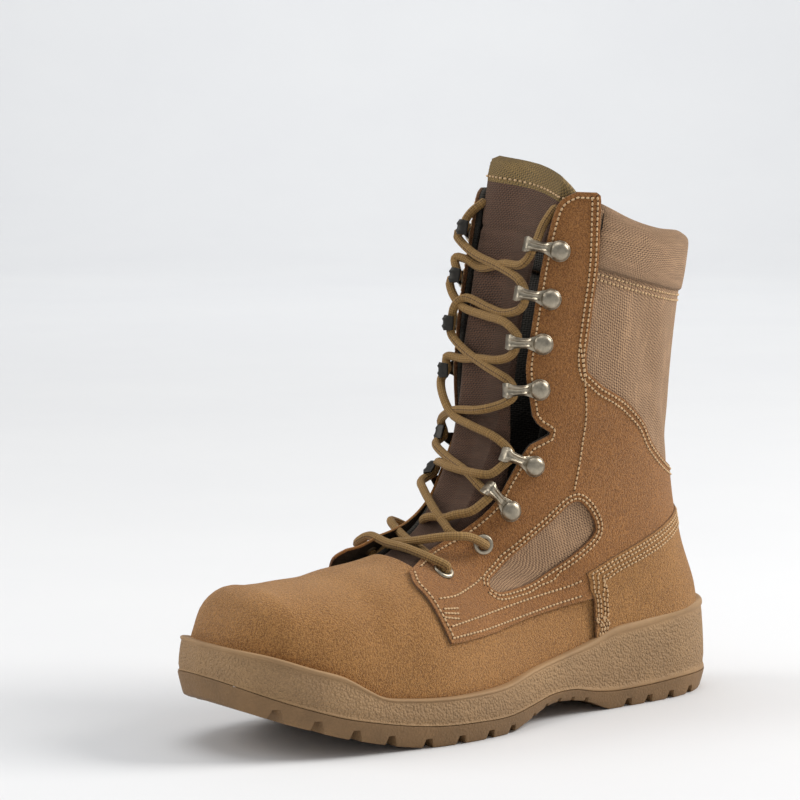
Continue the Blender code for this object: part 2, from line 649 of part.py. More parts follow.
def make_eyelets():
    bore, barrel, flange = EYELET_BORE / 2, EYELET_BARREL / 2, EYELET_ROUND / 2
    profile = ((bore, EYELET_RISE * .55), ((bore + flange) / 2, EYELET_RISE), (flange, EYELET_RISE * .4),
               (flange, 0), (barrel, 0), (barrel, -EYELET_REACH), (bore, -EYELET_REACH))
    data = turned_mesh("eyelet", profile)
    for number, (y, z) in enumerate(EYELETS, 1):
        for side, side_name in ((1, "lateral"), (-1, "medial")):
            frame = fitting_frame(y, z, side, QUARTER_THICK + GAP)
            place(f"eyelet_{side_name}_{number}", data, frame, METAL, .4, .9)


def eyelet_holes():
    """Cutter: one rod through quarter and upper at each eyelet."""
    mesh = bmesh.new()
    for y, z in EYELETS:
        for side in (1, -1):
            frame = fitting_frame(y, z, side, QUARTER_THICK + GAP)
            radius = (EYELET_BARREL / 2 + GAP) * MM / math.cos(math.pi / ROUND_STEPS)
            bmesh.ops.create_cone(mesh, cap_ends=True, segments=ROUND_STEPS, radius1=radius, radius2=radius,
                                  depth=16 * MM, matrix=frame)
    return as_cutter(finish_object("eyelet_holes", mesh, collection=CUTTERS))


def make_vents():
    """Two drain vents low in the arch, on the medial side."""
    radius = VENT_ROUND / 2
    data = turned_mesh("vent", ((radius * .62, .3), (radius * .62, .9), (radius * .85, 1.1), (radius, .5),
                                (radius, 0), (radius * .5, 0)))
    for number, (y, z) in enumerate(VENTS, 1):
        place(f"vent_medial_{number}", data, fitting_frame(y, z, -1, 0), OLIVE, .6, 0)


# ---------------------------------------------------------------- lace


def ridge_point(near, rise):
    """Point above the front ridge of the form, as close to another point as the ridge comes."""
    stations = np.linspace(0, LAST_END, 400)
    ridge = last_points(stations, np.zeros_like(stations))
    pick = int(np.argmin(np.hypot(ridge[:, 1] - near.y, ridge[:, 2] - near.z)))
    ahead = ridge[min(pick + 1, len(ridge) - 1)] - ridge[max(pick - 1, 0)]
    out = Vector((0, ahead[2], -ahead[1])).normalized()
    return Vector(ridge[pick]) + out * rise


# Where the lace passes a fitting, in the fitting's own frame, mm: way along its arm, aside, rise
LACE_AT_HOOK = ((15.8, 9.6, .6), (12, 0, .5), (15.8, -9.6, .6))
LACE_AT_EYELET = ((7, -4, 4.6), (8, 4, 4.6))
LACE_START = ((8, 2, 4.6),)
EYELET_ARM = (-5, 10)


def lace_route(first_side):
    """Points of one strand, mm: it crosses over the tongue between eyelets and hooks."""
    stops = {side: [(y, z, None) for y, z in reversed(EYELETS)]
             + [(y, z, arm) for y, z, *arm in reversed(list(hook_rows(side)))] for side in (1, -1)}
    route, side = [], first_side
    for index in range(len(stops[side])):
        y, z, arm = stops[side][index]
        if arm is None:
            spots, turned = LACE_AT_EYELET if index else LACE_START, side
        else:
            spots, turned = LACE_AT_HOOK[:2] if index == len(stops[side]) - 1 else LACE_AT_HOOK, -side
        frame = fitting_frame(y, z, side, QUARTER_THICK + GAP, arm or EYELET_ARM)
        spots = [frame @ (Vector((way, aside * turned, rise)) * MM) / MM for way, aside, rise in spots]
        if route:
            lift = LACE_STACK if (index + (first_side > 0)) % 2 else -LACE_STACK
            rise = LACE_RISE_LOW if index <= len(EYELETS) else LACE_RISE
            route.append(ridge_point((route[-1] + spots[0]) / 2, rise + lift))
        route += spots
        side = -side
    return route


def tube_object(name, route, collection):
    """A lace strand as a mesh tube with closed ends."""
    curve = bpy.data.curves.new(name, "CURVE")
    curve.dimensions = "3D"
    curve.bevel_depth = LACE_ROUND / 2 * MM
    curve.bevel_resolution = 1
    curve.use_fill_caps = True
    spline = curve.splines.new("POLY")
    spline.points.add(len(route) - 1)
    for spot, point in zip(spline.points, route):
        spot.co = (*(point * MM), 1)
    made = bpy.data.objects.new(name, curve)
    collection.objects.link(made)
    bpy.context.view_layer.update()
    data = bpy.data.meshes.new_from_object(made.evaluated_get(bpy.context.evaluated_depsgraph_get()))
    bpy.data.objects.remove(made)
    mesh = bmesh.new()
    mesh.from_mesh(data)
    bmesh.ops.remove_doubles(mesh, verts=mesh.verts, dist=1e-6)
    return finish_object(name, mesh, collection=collection)


def make_lace():
    lace = tube_object("lace", lace_route(1), PARTS)
    dress(lace, LACE, .8)
    cut(lace, as_cutter(tube_object("lace_second", lace_route(-1), CUTTERS)), "UNION")


holes = eyelet_holes()
make_upper()
make_quarter("quarter_lateral", 1)
make_quarter("quarter_medial", -1)
make_hooks()
make_eyelets()
make_vents()
make_lace()
make_counter()
make_collar()
make_backstay()
make_tongue()
make_insole()
make_midsole()
make_outsole()
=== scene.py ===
"""Left lace-up boot: the dressed model round its solids.

-Y is the toe, +X the outer (lateral) side of the foot, +Z up. Tables are in millimetres, meshes in metres.
Every soft panel is first drawn flat, as (u, v) on the form's own sheet, and then laid on the form.
"""

import json
import math

import bmesh
import bpy
import numpy as np
from mathutils import Matrix, Vector

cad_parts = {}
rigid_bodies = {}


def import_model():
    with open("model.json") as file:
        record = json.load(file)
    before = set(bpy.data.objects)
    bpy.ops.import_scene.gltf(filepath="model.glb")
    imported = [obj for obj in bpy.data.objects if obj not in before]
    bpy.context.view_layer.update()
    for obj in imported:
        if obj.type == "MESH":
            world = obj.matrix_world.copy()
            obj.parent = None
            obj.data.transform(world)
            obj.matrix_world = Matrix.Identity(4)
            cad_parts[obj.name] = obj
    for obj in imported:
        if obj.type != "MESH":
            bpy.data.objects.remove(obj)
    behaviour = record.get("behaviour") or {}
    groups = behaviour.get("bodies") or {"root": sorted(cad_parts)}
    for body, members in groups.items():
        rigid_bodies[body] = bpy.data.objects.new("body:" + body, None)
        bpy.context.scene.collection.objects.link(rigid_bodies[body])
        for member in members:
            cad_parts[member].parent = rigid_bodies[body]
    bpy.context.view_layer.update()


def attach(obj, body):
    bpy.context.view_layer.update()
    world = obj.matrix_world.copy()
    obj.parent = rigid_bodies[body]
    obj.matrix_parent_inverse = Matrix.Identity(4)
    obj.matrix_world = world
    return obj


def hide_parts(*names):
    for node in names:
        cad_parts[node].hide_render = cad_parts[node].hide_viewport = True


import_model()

MM = 0.001
CENTRE_X = 3.25          # mm from the sole's drawing line to the middle of the boot's box

# ---------------------------------------------------------------- camera

CAMERA_AT = (1.2133, -0.9516, 0.3245)
CAMERA_TO = (-0.0183, -0.0252, 0.1585)
LENS, SENSOR = 141.0, 36

eye = bpy.data.objects.new("camera", bpy.data.cameras.new("camera"))
bpy.context.scene.collection.objects.link(eye)
eye.location = CAMERA_AT
eye.rotation_euler = (Vector(CAMERA_TO) - Vector(CAMERA_AT)).to_track_quat("-Z", "Y").to_euler()
eye.data.lens = LENS
eye.data.sensor_width = SENSOR
eye.data.clip_end = 20
bpy.context.scene.camera = eye

# ---------------------------------------------------------------- the boot's form

# Oval sections from the collar down to the toe's end: front and back place, half widths, where it is widest
# from front to back, how square its front and back halves are, and its shift to the lateral side
LAST_COLUMNS = ("front_y", "front_z", "back_y", "back_z", "lateral", "medial",
                "widest", "front_power", "back_power", "shift")
LAST = (
    ("rim",      35, 292, 145, 292, 44.5, 44.5, .52, 2.3, 2.1, 0),
    ("collar",   27, 245, 138, 245, 43.5, 43.5, .52, 2.3, 2.1, 0),
    ("calf",     17, 200, 131.5, 200, 41.2, 41.2, .52, 2.3, 2.1, 0),
    ("shin",     10, 165, 128.5, 160, 38, 38, .52, 2.2, 2.1, 0),
    ("ankle",     2, 136, 128.5, 120, 35.5, 35.5, .54, 2.1, 2.1, 0),
    ("instep",  -12, 110, 135.5,  82, 35.5, 34.5, .58, 2.1, 2.1, 0),
    ("heel",    -20, 100, 144,  52, 35.5, 33.5, .62, 2.1, 2.4, 0),
    ("seat",    -27,  95, 137,  30, 34.5, 32, .68, 2.1, 3.2, 0),
    ("waist",   -33,  91,  90,  27, 34.6, 31, .70, 2.1, 5, 0),
    ("arch",    -40,  88,  40,  20, 39.8, 34, .72, 2.1, 5, 1),
    ("joint",   -48,  85,   0,  15, 48, 39.5, .74, 2.2, 5, 1),
    ("ball",    -60,  82, -42,  13, 53.5, 46.5, .74, 2.3, 5, 1),
    ("toes",    -82,  79.5, -76, 15, 51, 48, .72, 2.4, 5, 0),
    ("box",    -106,  78, -105,  21, 47, 44.2, .68, 2.6, 5, -1),
    ("cap",    -130,  73, -127,  28, 38, 36.4, .65, 2.6, 4, -2),
    ("tip",    -145,  61, -142,  34, 25, 25, .60, 2.4, 3, -3),
    ("end",    -149.5, 50, -149,  38, 4, 4, .50, 2, 2, -3),
)
LAST_NAMES = [row[0] for row in LAST]
LAST_SIZES = np.array([row[1:] for row in LAST], float)
LAST_END = len(LAST) - 1
TOE_LEAD_START = LAST_NAMES.index("box")

# y, and x of the sole's lateral and medial edge
SOLE_PLAN = (
    (-155, -3, -3), (-152, 18, -22), (-143, 32, -34), (-125, 44.5, -44), (-100, 52.5, -50),
    (-72, 56, -52.5), (-42, 59, -50.5), (-12, 55.8, -44.5), (24, 46, -38), (60, 40.8, -36.3),
    (95, 39.2, -37.3), (120, 36.2, -36), (140, 27.3, -27), (151, 15, -14), (155, 1, 1),
)
# y, and the height there of the tread, the parting line, the lip and the floor inside
SOLE_COLUMNS = {"tread": 1, "parting": 2, "lip": 3, "floor": 4}
SOLE_HEIGHTS = np.array((
    (-156, 29.5, 38.5, 54, 43), (-150, 25.5, 35.5, 53, 40.5), (-140, 21, 31, 50.8, 36.5),
    (-120, 14, 23.5, 43.8, 30), (-104, 9, 18.6, 38.2, 25), (-95, 6.8, 16.6, 32.8, 22.8),
    (-86, 4.6, 14.8, 27.8, 21), (-70, 1.4, 12, 25, 19), (-58, 0, 10.6, 24, 18), (-35, 0, 9.6, 23.6, 17.5),
    (-8, 0, 9.4, 25, 18.5), (8, 4, 11.6, 28.4, 20.5), (26, 9, 14.4, 31.2, 23.5), (40, 8.4, 14.2, 33.6, 26),
    (56, 5, 11, 37, 28.5), (68, 0, 9.6, 41, 30.5), (90, 0, 9.6, 43.6, 32.5), (118, 0, 10.6, 46.8, 34),
    (148, 0, 10.2, 47.5, 34.5), (157, 2, 10.5, 48, 35),
), float)

# Edges of the panels and places of the fittings in side view, as (y, z)
THROAT_LOW = ((-44.5, 81), (-32, 85.5), (-12, 94.5), (4, 107), (13, 120), (20.5, 132))
THROAT_NOTCH = ((23.5, 136.5), (34, 142), (27.5, 146.5))
THROAT_HIGH = ((25, 151), (23, 171), (24.5, 186), (28, 207), (33.5, 233), (38.5, 252.3), (42, 258.2),
               (46.9, 261.2))
STRIP_BACK = ((55.7, 260.8), (57.5, 258.8), (57.1, 247.6), (55.7, 224), (52.5, 201), (50.5, 181), (51.5, 172))
QUARTER_BACK = ((60.5, 164.5), (76, 156), (89, 145), (98.5, 132), (118, 119.5), (150, 113))
QUARTER_LOW = ((66, 58), (53.3, 56.8), (21.1, 53.6), (-9.2, 49.9), (-33.6, 48.5), (-45.8, 48.5))
QUARTER_FRONT = ((-46.8, 51), (-49.2, 60.1), (-50.8, 68.8), (-52.8, 75), (-49.6, 79.4))
COUNTER_TOP = ((53.1, 70.6), (76, 80.5), (128, 97.5), (165, 108))
COUNTER_FRONT = ((55.2, 62.5), (57.9, 56), (56.9, 39.1), (56.5, 30))
WINDOW = ((-5.3, 69), (-3.5, 72), (6.5, 77.5), (30, 95.5), (45, 106.8), (52.5, 104), (58, 95), (57, 90),
          (50, 84), (36, 75.5), (20, 68.5), (0, 66.2))
COLLAR_TOP = ((57, 256), (75, 247.5), (94, 242.5), (112, 240), (126, 237.5), (160, 237))
CUFF_SEAM = ((55.5, 223), (81, 216), (114, 209.5), (160, 207))
# Rivet (y, z) of each hook from the top down, and the way its arm points
HOOKS = ((38.5, 232, -11, 3), (33.5, 208.5, -11, 2.5), (29.5, 186.5, -11, 1),
         (28, 164, -11, 0), (25, 126, -10, 4.5), (12, 104.5, -7, 8))
EYELETS = ((-2, 88.5), (-30, 78))
MEDIAL_SHIFT = 6.5       # the medial hooks sit this much further up the facing than the lateral ones
VENTS = ((0, 38.5), (26, 42.5))

WALL = 2.6               # thickness of the upper
LAYER_FOOT = .2          # height of a layer's edge over the form
QUARTER_TOP = 1.9        # height of each layer's face over the form
COUNTER_TOP_FACE = 2.6
BACKSTAY_TOP = 1.5


def smooth_values(rows, station):
    """Values of a smooth curve through the rows, at station 0 to len(rows) - 1."""
    last = len(rows) - 1
    station = np.clip(np.asarray(station, float), 0, last - 1e-9)
    low = np.floor(station).astype(int)
    part = (station - low)[..., None]
    here, there = rows[low], rows[low + 1]
    before = np.where((low == 0)[..., None], 2 * here - there, rows[np.maximum(low - 1, 0)])
    after = np.where((low + 2 > last)[..., None], 2 * there - here, rows[np.minimum(low + 2, last)])
    return .5 * (2 * here + (there - before) * part
                 + (2 * before - 5 * here + 4 * there - after) * part ** 2
                 + (3 * here - before - 3 * there + after) * part ** 3)


def smooth_line(points, step=2.0):
    """Points about a step apart on a smooth curve through the given ones."""
    rows = np.array(points, float)
    fine = smooth_values(rows, np.linspace(0, len(rows) - 1, (len(rows) - 1) * 40 + 1))
    return even_line(fine, step)


def even_line(points, step):
    """Points about a step apart along a line of straight pieces."""
    points = np.array(points, float)
    gaps = np.linalg.norm(np.diff(points, axis=0), axis=1)
    run = np.concatenate([[0], np.cumsum(gaps)])
    count = max(1, round(run[-1] / step))
    at = np.linspace(0, run[-1], count + 1)
    return np.stack([np.interp(at, run, points[:, axis]) for axis in range(points.shape[1])], -1)


def sole_height(y, column):
    """Height of one line of the sole at y."""
    ys, zs = SOLE_HEIGHTS[:, 0], SOLE_HEIGHTS[:, SOLE_COLUMNS[column]]
    slopes = np.gradient(zs, ys)
    y = np.clip(y, ys[0], ys[-1])
    low = np.clip(np.searchsorted(ys, y) - 1, 0, len(ys) - 2)
    width = ys[low + 1] - ys[low]
    part = (y - ys[low]) / width
    height = ((2 * part ** 3 - 3 * part ** 2 + 1) * zs[low]
              + (part ** 3 - 2 * part ** 2 + part) * width * slopes[low]
              + (3 * part ** 2 - 2 * part ** 3) * zs[low + 1]
              + (part ** 3 - part ** 2) * width * slopes[low + 1])
    return np.maximum(height, 0)


def plain_form(station, turn, grow=0.0, flat=0.0):
    """Points of the form, mm. The turn is 0 at the front, +90 degrees lateral, 180 at the back."""
    row = smooth_values(LAST_SIZES, station)
    front_y, front_z, back_y, back_z, lateral, medial, widest, front_power, back_power, shift = (
        row[..., column] for column in range(len(LAST_COLUMNS)))
    turn = np.asarray(turn, float)
    power = np.where(np.cos(turn) > 0, front_power, back_power)
    along = np.abs(np.cos(turn)) ** (2 / power)
    aside = np.abs(np.sin(turn)) ** (2 / power)
    share = np.where(np.cos(turn) > 0, widest * (1 - along), widest + (1 - widest) * along)
    share = np.maximum(share, flat)
    length = np.hypot(back_y - front_y, back_z - front_z)
    share = share * (1 + 2 * grow / length) - grow / length
    half = np.maximum(np.where(turn >= 0, lateral, medial) + grow, 1.5)
    x = shift - CENTRE_X + np.sign(turn) * half * aside
    lead = np.clip((np.asarray(station, float) - TOE_LEAD_START) / (LAST_END - TOE_LEAD_START), 0, 1)
    y = front_y + (back_y - front_y) * share - grow * lead
    z = front_z + (back_z - front_z) * share
    return np.stack([x, y, z], -1)


# Soft troughs and ridges of the worn-in leather and cloth: side (0 is both), place (y, z), the way it runs,
# half length, half width and rise
CREASES = np.array((
    (0, -96, 80, 1, 0, 19, 16, -2.0),
    (0, -130, 74, 1, 0, 9, 11, 2.2),
    (0, -143, 54, 1, 0, 9, 8, -1.6),
    (1, 88, 184, -.15, 1, 26, 7, -.9),
    (1, 103, 176, -.1, 1, 30, 6, .8),
    (1, 72, 190, -.1, 1, 20, 6, .6),
    (1, 112, 150, -.5, 1, 22, 4.5, -1.1),
    (1, 104, 146, -.6, 1, 15, 3.2, .7),
    (1, 96, 166, -.5, 1, 16, 4, -.5),
    (1, 62, 142, 1, .35, 22, 7, -.8),
    (1, 66, 128, 1, .2, 24, 8, .6),
    (1, -62, 66, .5, 1, 13, 5, -.7),
    (1, -72, 64, .4, 1, 14, 5, .5),
    (1, -84, 62, .3, 1, 12, 5, -.4),
    (-1, 90, 180, -.1, 1, 28, 7, -.9),
    (-1, 105, 170, -.1, 1, 26, 6, .7),
    (-1, 62, 140, 1, .3, 22, 7, -.8),
    (-1, -64, 62, .5, 1, 13, 5, -.6),
), float)


def crease(points, turn):
    """How far the creases lift the surface at these points of the form, mm."""
    lift = np.zeros(points.shape[:-1])
    for side, y, z, run_y, run_z, half_length, half_width, rise in CREASES:
        length = math.hypot(run_y, run_z)
        along = ((points[..., 1] - y) * run_y + (points[..., 2] - z) * run_z) / length
        across = ((points[..., 1] - y) * run_z - (points[..., 2] - z) * run_y) / length
        bump = rise * np.exp(-(along / half_length) ** 4 - (across / half_width) ** 2)
        lift += np.where(turn * side >= 0, bump, 0)
    return lift


def eased(share):
    """A share from 0 to 1, made to start and end softly."""
    return share ** 2 * (3 - 2 * share)


MEDIAL_FLARE = 3.4       # how far the medial facing stands open at the throat
FLARE_TURNS = (math.radians(-88), math.radians(-42))
FLARE_STATIONS = (0, 8.2, 9.8)


def flare(station, turn):
    """How far the medial facing leans out along the throat, mm."""
    near = np.interp(turn, FLARE_TURNS, (0, 1)) * (turn < 0)
    over_vamp = np.interp(station, FLARE_STATIONS, (1, 1, 0))
    return MEDIAL_FLARE * eased(near) * over_vamp


FLAP_LIFT = 6.5          # how far the medial quarter's front corner stands off the vamp
FLAP_BACK = (-32, 8)     # y where the lift starts to fade, and where it ends
FLAP_LOW = (53, 68)      # z where it begins, and where it is full
OVER_SHELL = .15         # layers from this height on belong to the quarter


def flap_lift(points, turn, grow):
    """How far the medial quarter's front corner stands off the vamp at these points, mm."""
    along = np.interp(points[..., 1], FLAP_BACK, (1, 0))
    up = np.interp(points[..., 2], FLAP_LOW, (0, 1))
    return FLAP_LIFT * eased(along) * eased(up) * (turn < 0) * (grow >= OVER_SHELL)


def form(station, turn, grow=0.0):
    """Points of the form with its creases, the medial facing's flare and the lifted corner, mm."""
    station, turn = np.asarray(station, float), np.asarray(turn, float)
    base = plain_form(station, turn, 0.0)
    lift = crease(base, turn) + flare(station, turn) + flap_lift(base, turn, grow)
    return plain_form(station, turn, grow + lift)


# ---------------------------------------------------------------- the flat sheet

TURN_WIDTH = 43.0        # mm of sheet for a turn of one radian
BACK_V = math.pi * TURN_WIDTH
FINE = np.linspace(0, LAST_END, LAST_END * 50 + 1)
FINE_ROWS = smooth_values(LAST_SIZES, FINE)
MIDDLE = .5 * (FINE_ROWS[:, 0:2] + FINE_ROWS[:, 2:4])
RUN = np.concatenate([[0], np.cumsum(np.linalg.norm(np.diff(MIDDLE, axis=0), axis=1))])


def to_sheet(points, side=1):
    """Sheet places (u, v) of side-view points (y, z)."""
    points = np.atleast_2d(np.array(points, float))
    front, span = FINE_ROWS[:, 0:2], FINE_ROWS[:, 2:4] - FINE_ROWS[:, 0:2]
    length = np.linalg.norm(span, axis=1)
    found = []
    for point in points:
        away = point - front
        share = (away * span).sum(1) / length ** 2
        off = (away[:, 0] * span[:, 1] - away[:, 1] * span[:, 0]) / length
        change = np.nonzero(np.sign(off[:-1]) != np.sign(off[1:]))[0]
        if len(change):
            pick = change[np.argmin(np.abs(share[change] - np.clip(share[change], 0, 1)))]
            part = off[pick] / (off[pick] - off[pick + 1])
            station = FINE[pick] + part * (FINE[pick + 1] - FINE[pick])
            at = share[pick] + part * (share[pick + 1] - share[pick])
        else:
            pick = int(np.argmin(np.abs(off)))
            station, at = FINE[pick], share[pick]
        row = smooth_values(LAST_SIZES, np.array(station))
        widest, front_power, back_power = row[6], row[7], row[8]
        at = min(max(at, 0), 1)
        if at < widest:
            turn = math.acos((1 - at / widest) ** (front_power / 2))
        else:
            turn = math.pi - math.acos(((at - widest) / (1 - widest)) ** (back_power / 2))
        found.append((np.interp(station, FINE, RUN), side * turn * TURN_WIDTH))
    return np.array(found)


def on_form(flat, grow=0.0):
    """Points of the form for sheet places (u, v), mm."""
    flat = np.asarray(flat, float)
    turn = (flat[..., 1] / TURN_WIDTH + math.pi) % (2 * math.pi) - math.pi
    return form(np.interp(flat[..., 0], RUN, FINE), turn, grow)


def frames(flat, grow):
    """Points, outward normals and tangents along a line of sheet places."""
    here = on_form(flat, grow)
    step = .4
    by_u = on_form(flat + (step, 0), grow) - here
    by_v = on_form(flat + (0, step), grow) - here
    normal = np.cross(by_v, by_u)
    normal /= np.linalg.norm(normal, axis=-1, keepdims=True)
    outward = here - on_form(flat, grow - 1)
    normal *= np.sign((normal * outward).sum(-1, keepdims=True))
    tangent = np.gradient(here, axis=0)
    tangent -= normal * (tangent * normal).sum(-1, keepdims=True)
    tangent /= np.linalg.norm(tangent, axis=-1, keepdims=True) + 1e-12
    return here, normal, tangent


PROBE = .5               # mm of sheet over which a direction is measured
LEAST_GAP = .9           # share of its move that a point of a moved line must keep from the first line


def inset_line(flat, by):
    """The sheet line moved over the form by so many mm, to the left of its run, without loops in its corners."""
    ahead = np.gradient(flat, axis=0)
    along_u, along_v = ((on_form(flat + way) - on_form(flat - way)) / (2 * PROBE) for way in ((PROBE, 0), (0, PROBE)))
    run = along_u * ahead[:, :1] + along_v * ahead[:, 1:]
    aside = np.cross(np.cross(along_u, along_v), run)
    aside *= by / np.linalg.norm(aside, axis=1, keepdims=True)
    uu, vv, uv = ((first * second).sum(1) for first, second in
                  ((along_u, along_u), (along_v, along_v), (along_u, along_v)))
    on_u, on_v = (aside * along_u).sum(1), (aside * along_v).sum(1)
    moved = flat + np.stack([on_u * vv - on_v * uv, on_v * uu - on_u * uv], -1) / (uu * vv - uv ** 2)[:, None]
    gaps = np.linalg.norm(on_form(moved)[:, None] - on_form(even_line(flat, 1))[None], axis=2).min(1)
    return moved[gaps > abs(by) * LEAST_GAP]


# Rings along a panel's edge: mm inside the one before, share of the layer's height
EDGE = ((.05, .8), (.22, 1.0), (.35, 1.0))       # a crisp cut edge
SOFT_EDGE = ((.5, .5), (.8, .8), (1.2, 1.0))     # a folded edge
BACKING = .6             # thickness of a panel under its face, mm
EDGE_SHADE, RAW = -.9, 1       # tint of a cut edge: dark as painted shade, or light as the hide inside
FACE_SHARE = .99         # share of the layer's height from which a point is face, not edge


def flat_panel(outlines, cell, edge=EDGE):
    """A panel drawn on the sheet, with rings along its edge, cut into cells. x, y hold (u, v) in mm."""
    mesh = bmesh.new()
    rise = mesh.verts.layers.float.new("rise")
    known = {}

    def corner(place):
        key = (round(float(place[0]), 2), round(float(place[1]), 2))
        if key not in known:
            known[key] = mesh.verts.new((key[0], key[1], 0))
        return known[key]

    region = []
    for outline in outlines:
        corners = []
        for place in outline:
            spot = corner(place)
            if not corners or spot is not corners[-1]:
                corners.append(spot)
        if corners[0] is corners[-1]:
            corners.pop()
        region.append(mesh.faces.new(corners))
    bmesh.ops.recalc_face_normals(mesh, faces=region)
    for width, height in edge:
        bmesh.ops.inset_region(mesh, faces=region, thickness=width, use_even_offset=True, use_boundary=True)
        for face in region:
            for vert in face.verts:
                vert[rise] = height
    places = np.array([vert.co[:2] for vert in mesh.verts])
    for axis in (0, 1):
        low, high = places[:, axis].min(), places[:, axis].max()
        for value in np.arange(math.ceil(low / cell) * cell, high, cell):
            across = Vector((0, 0, 0))
            across[axis] = 1
            bmesh.ops.bisect_plane(mesh, geom=mesh.verts[:] + mesh.edges[:] + mesh.faces[:], dist=.04,
                                   plane_co=across * value, plane_no=across)
    return mesh


def lay(mesh, name, base, top, material, backing=BACKING, inside=None, raw=None):
    """Lay a flat panel on the form and give it a back. inside is the back's material, if it has its own.
    raw(points) says where the cut edge is raw and light; elsewhere the edge gets painted shade, a dark tint."""
    uv = mesh.loops.layers.uv.new("sheet")
    rise = mesh.verts.layers.float["rise"]
    for face in mesh.faces:
        for loop in face.loops:
            loop[uv].uv = loop.vert.co.xy * MM
    mesh.verts.ensure_lookup_table()
    flat = np.array([vert.co[:2] for vert in mesh.verts])
    lift = np.array([vert[rise] for vert in mesh.verts])
    edge = mesh.verts.layers.float.new("edge")
    points = on_form(flat, base + (top - base) * lift)
    tint = np.where(raw(points), RAW, EDGE_SHADE) if raw else np.full(len(flat), EDGE_SHADE)
    for vert, point, share in zip(mesh.verts, points, (lift < FACE_SHARE) * tint):
        vert.co = point * MM
        vert[edge] = share
    bmesh.ops.remove_doubles(mesh, verts=mesh.verts, dist=2e-5)
    face_outwards(mesh)
    outside = set(mesh.faces)
    bmesh.ops.solidify(mesh, geom=mesh.faces[:], thickness=backing * MM)
    if inside is not None:
        for face in mesh.faces:
            if face not in outside:
                face.material_index = inside
    return finish_piece(mesh, name, material)


def face_outwards(mesh):
    """Turn an open sheet on the form so that its faces point away from the foot."""
    mesh.normal_update()
    score = 0.0
    for face in mesh.faces:
        middle = face.calc_center_median()
        inside = Vector((-CENTRE_X * MM, middle.y * .6 + .02, middle.z * .6 + .03))
        score += face.calc_area() * face.normal.dot(middle - inside)
    if score < 0:
        bmesh.ops.reverse_faces(mesh, faces=mesh.faces)


def kept_shape(mesh, name):
    """The bmesh as mesh data."""
    data = bpy.data.meshes.new(name)
    mesh.to_mesh(data)
    mesh.free()
    return data


def finish_piece(mesh, name, material, smooth=True, ride=True):
    """A piece of its own from a bmesh or mesh data, with its material or materials."""
    data = kept_shape(mesh, name) if isinstance(mesh, bmesh.types.BMesh) else mesh
    piece = bpy.data.objects.new(name, data)
    bpy.context.scene.collection.objects.link(piece)
    for item in material if isinstance(material, (list, tuple)) else [material]:
        data.materials.append(item)
    if smooth:
        data.shade_smooth()
    if ride:
        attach(piece, "root")
    return piece


# ---------------------------------------------------------------- materials

SUEDE = (.365, .150, .034)
SUEDE_DARK = (.10, .037, .008)
SUEDE_LIGHT = (.67, .35, .11)
QUARTER_SHADE_TONE = (.85, .75, .69)      # painted shade: the quarters' suede darkened beside the vamp's
NYLON = (.58, .35, .19)
NYLON_DARK = (.10, .052, .027)
# Painted shadow: the tongue's nylon, made much darker than the shaft's.
TONGUE_NYLON_SHADOWED = (.152, .071, .038)
OLIVE = (.30, .19, .06)
OLIVE_DARK = (.07, .045, .016)
LINING = (.022, .019, .013)
MIDSOLE = (.445, .268, .124)
MIDSOLE_DUST_AND_SHADE = (.22, .13, .062)
OUTSOLE = (.30, .17, .072)
OUTSOLE_DUST_AND_SHADE = (.12, .07, .03)
METAL = (.46, .40, .305)
LACE = (.375, .212, .061)
LACE_DARK = (.08, .038, .011)
THREAD = (.80, .53, .28)
# Painted shade in the needle holes between the stitches.
HOLE = (.06, .026, .009)


class Web:
    """Short calls for building a node tree."""

    def __init__(self, tree):
        self.tree = tree

    def node(self, kind, **settings):
        made = self.tree.nodes.new(kind)
        for key, value in settings.items():
            setattr(made, key, value)
        return made

    def put(self, value, socket):
        if isinstance(value, bpy.types.NodeSocket):
            self.tree.links.new(value, socket)
        elif value is not None:
            socket.default_value = value

    def math(self, operation, *values):
        made = self.node("ShaderNodeMath", operation=operation)
        for value, socket in zip(values, made.inputs):
            self.put(value, socket)
        return made.outputs[0]

    def times(self, first, second):
        return self.math("MULTIPLY", first, second)

    def plus(self, first, second):
        return self.math("ADD", first, second)

    def rest_of(self, share):
        return self.math("SUBTRACT", 1.0, share)

    def vector(self, operation, *values):
        made = self.node("ShaderNodeVectorMath", operation=operation)
        for value, socket in zip(values, made.inputs):
            self.put(value, socket)
        return made.outputs["Value"] if operation in ("DOT_PRODUCT", "LENGTH") else made.outputs[0]

    def noise(self, vector, scale, detail=3.0, rough=.5, stretch=None, gives="Fac"):
        if stretch:
            vector = self.vector("MULTIPLY", vector, stretch)
        made = self.node("ShaderNodeTexNoise")
        self.put(vector, made.inputs["Vector"])
        made.inputs["Scale"].default_value = scale
        made.inputs["Detail"].default_value = detail
        made.inputs["Roughness"].default_value = rough
        return made.outputs[gives]

    def ramp(self, value, low, high):
        made = self.node("ShaderNodeMapRange", clamp=True)
        self.put(value, made.inputs["Value"])
        self.put(low, made.inputs["From Min"])
        self.put(high, made.inputs["From Max"])
        return made.outputs["Result"]

    def mix(self, share, first, second, blend="MIX"):
        made = self.node("ShaderNodeMix", data_type="RGBA", blend_type=blend)
        self.put(share, made.inputs[0])
        for value, socket in ((first, made.inputs[6]), (second, made.inputs[7])):
            self.put((*value, 1) if isinstance(value, tuple) else value, socket)
        return made.outputs[2]

    def bump(self, height, strength, distance):
        made = self.node("ShaderNodeBump")
        self.put(height, made.inputs["Height"])
        made.inputs["Strength"].default_value = strength
        made.inputs["Distance"].default_value = distance
        return made.outputs["Normal"]

    def surface(self, colour, normal):
        """The colour and normal of the material's own shader."""
        shader = self.tree.nodes["Principled BSDF"]
        self.put(colour, shader.inputs["Base Color"])
        self.put(normal, shader.inputs["Normal"])

    def group(self, tree, **values):
        made = self.node("ShaderNodeGroup", node_tree=tree)
        for name, value in values.items():
            self.put(value, made.inputs[name.replace("_", " ").capitalize()])
        return made.outputs


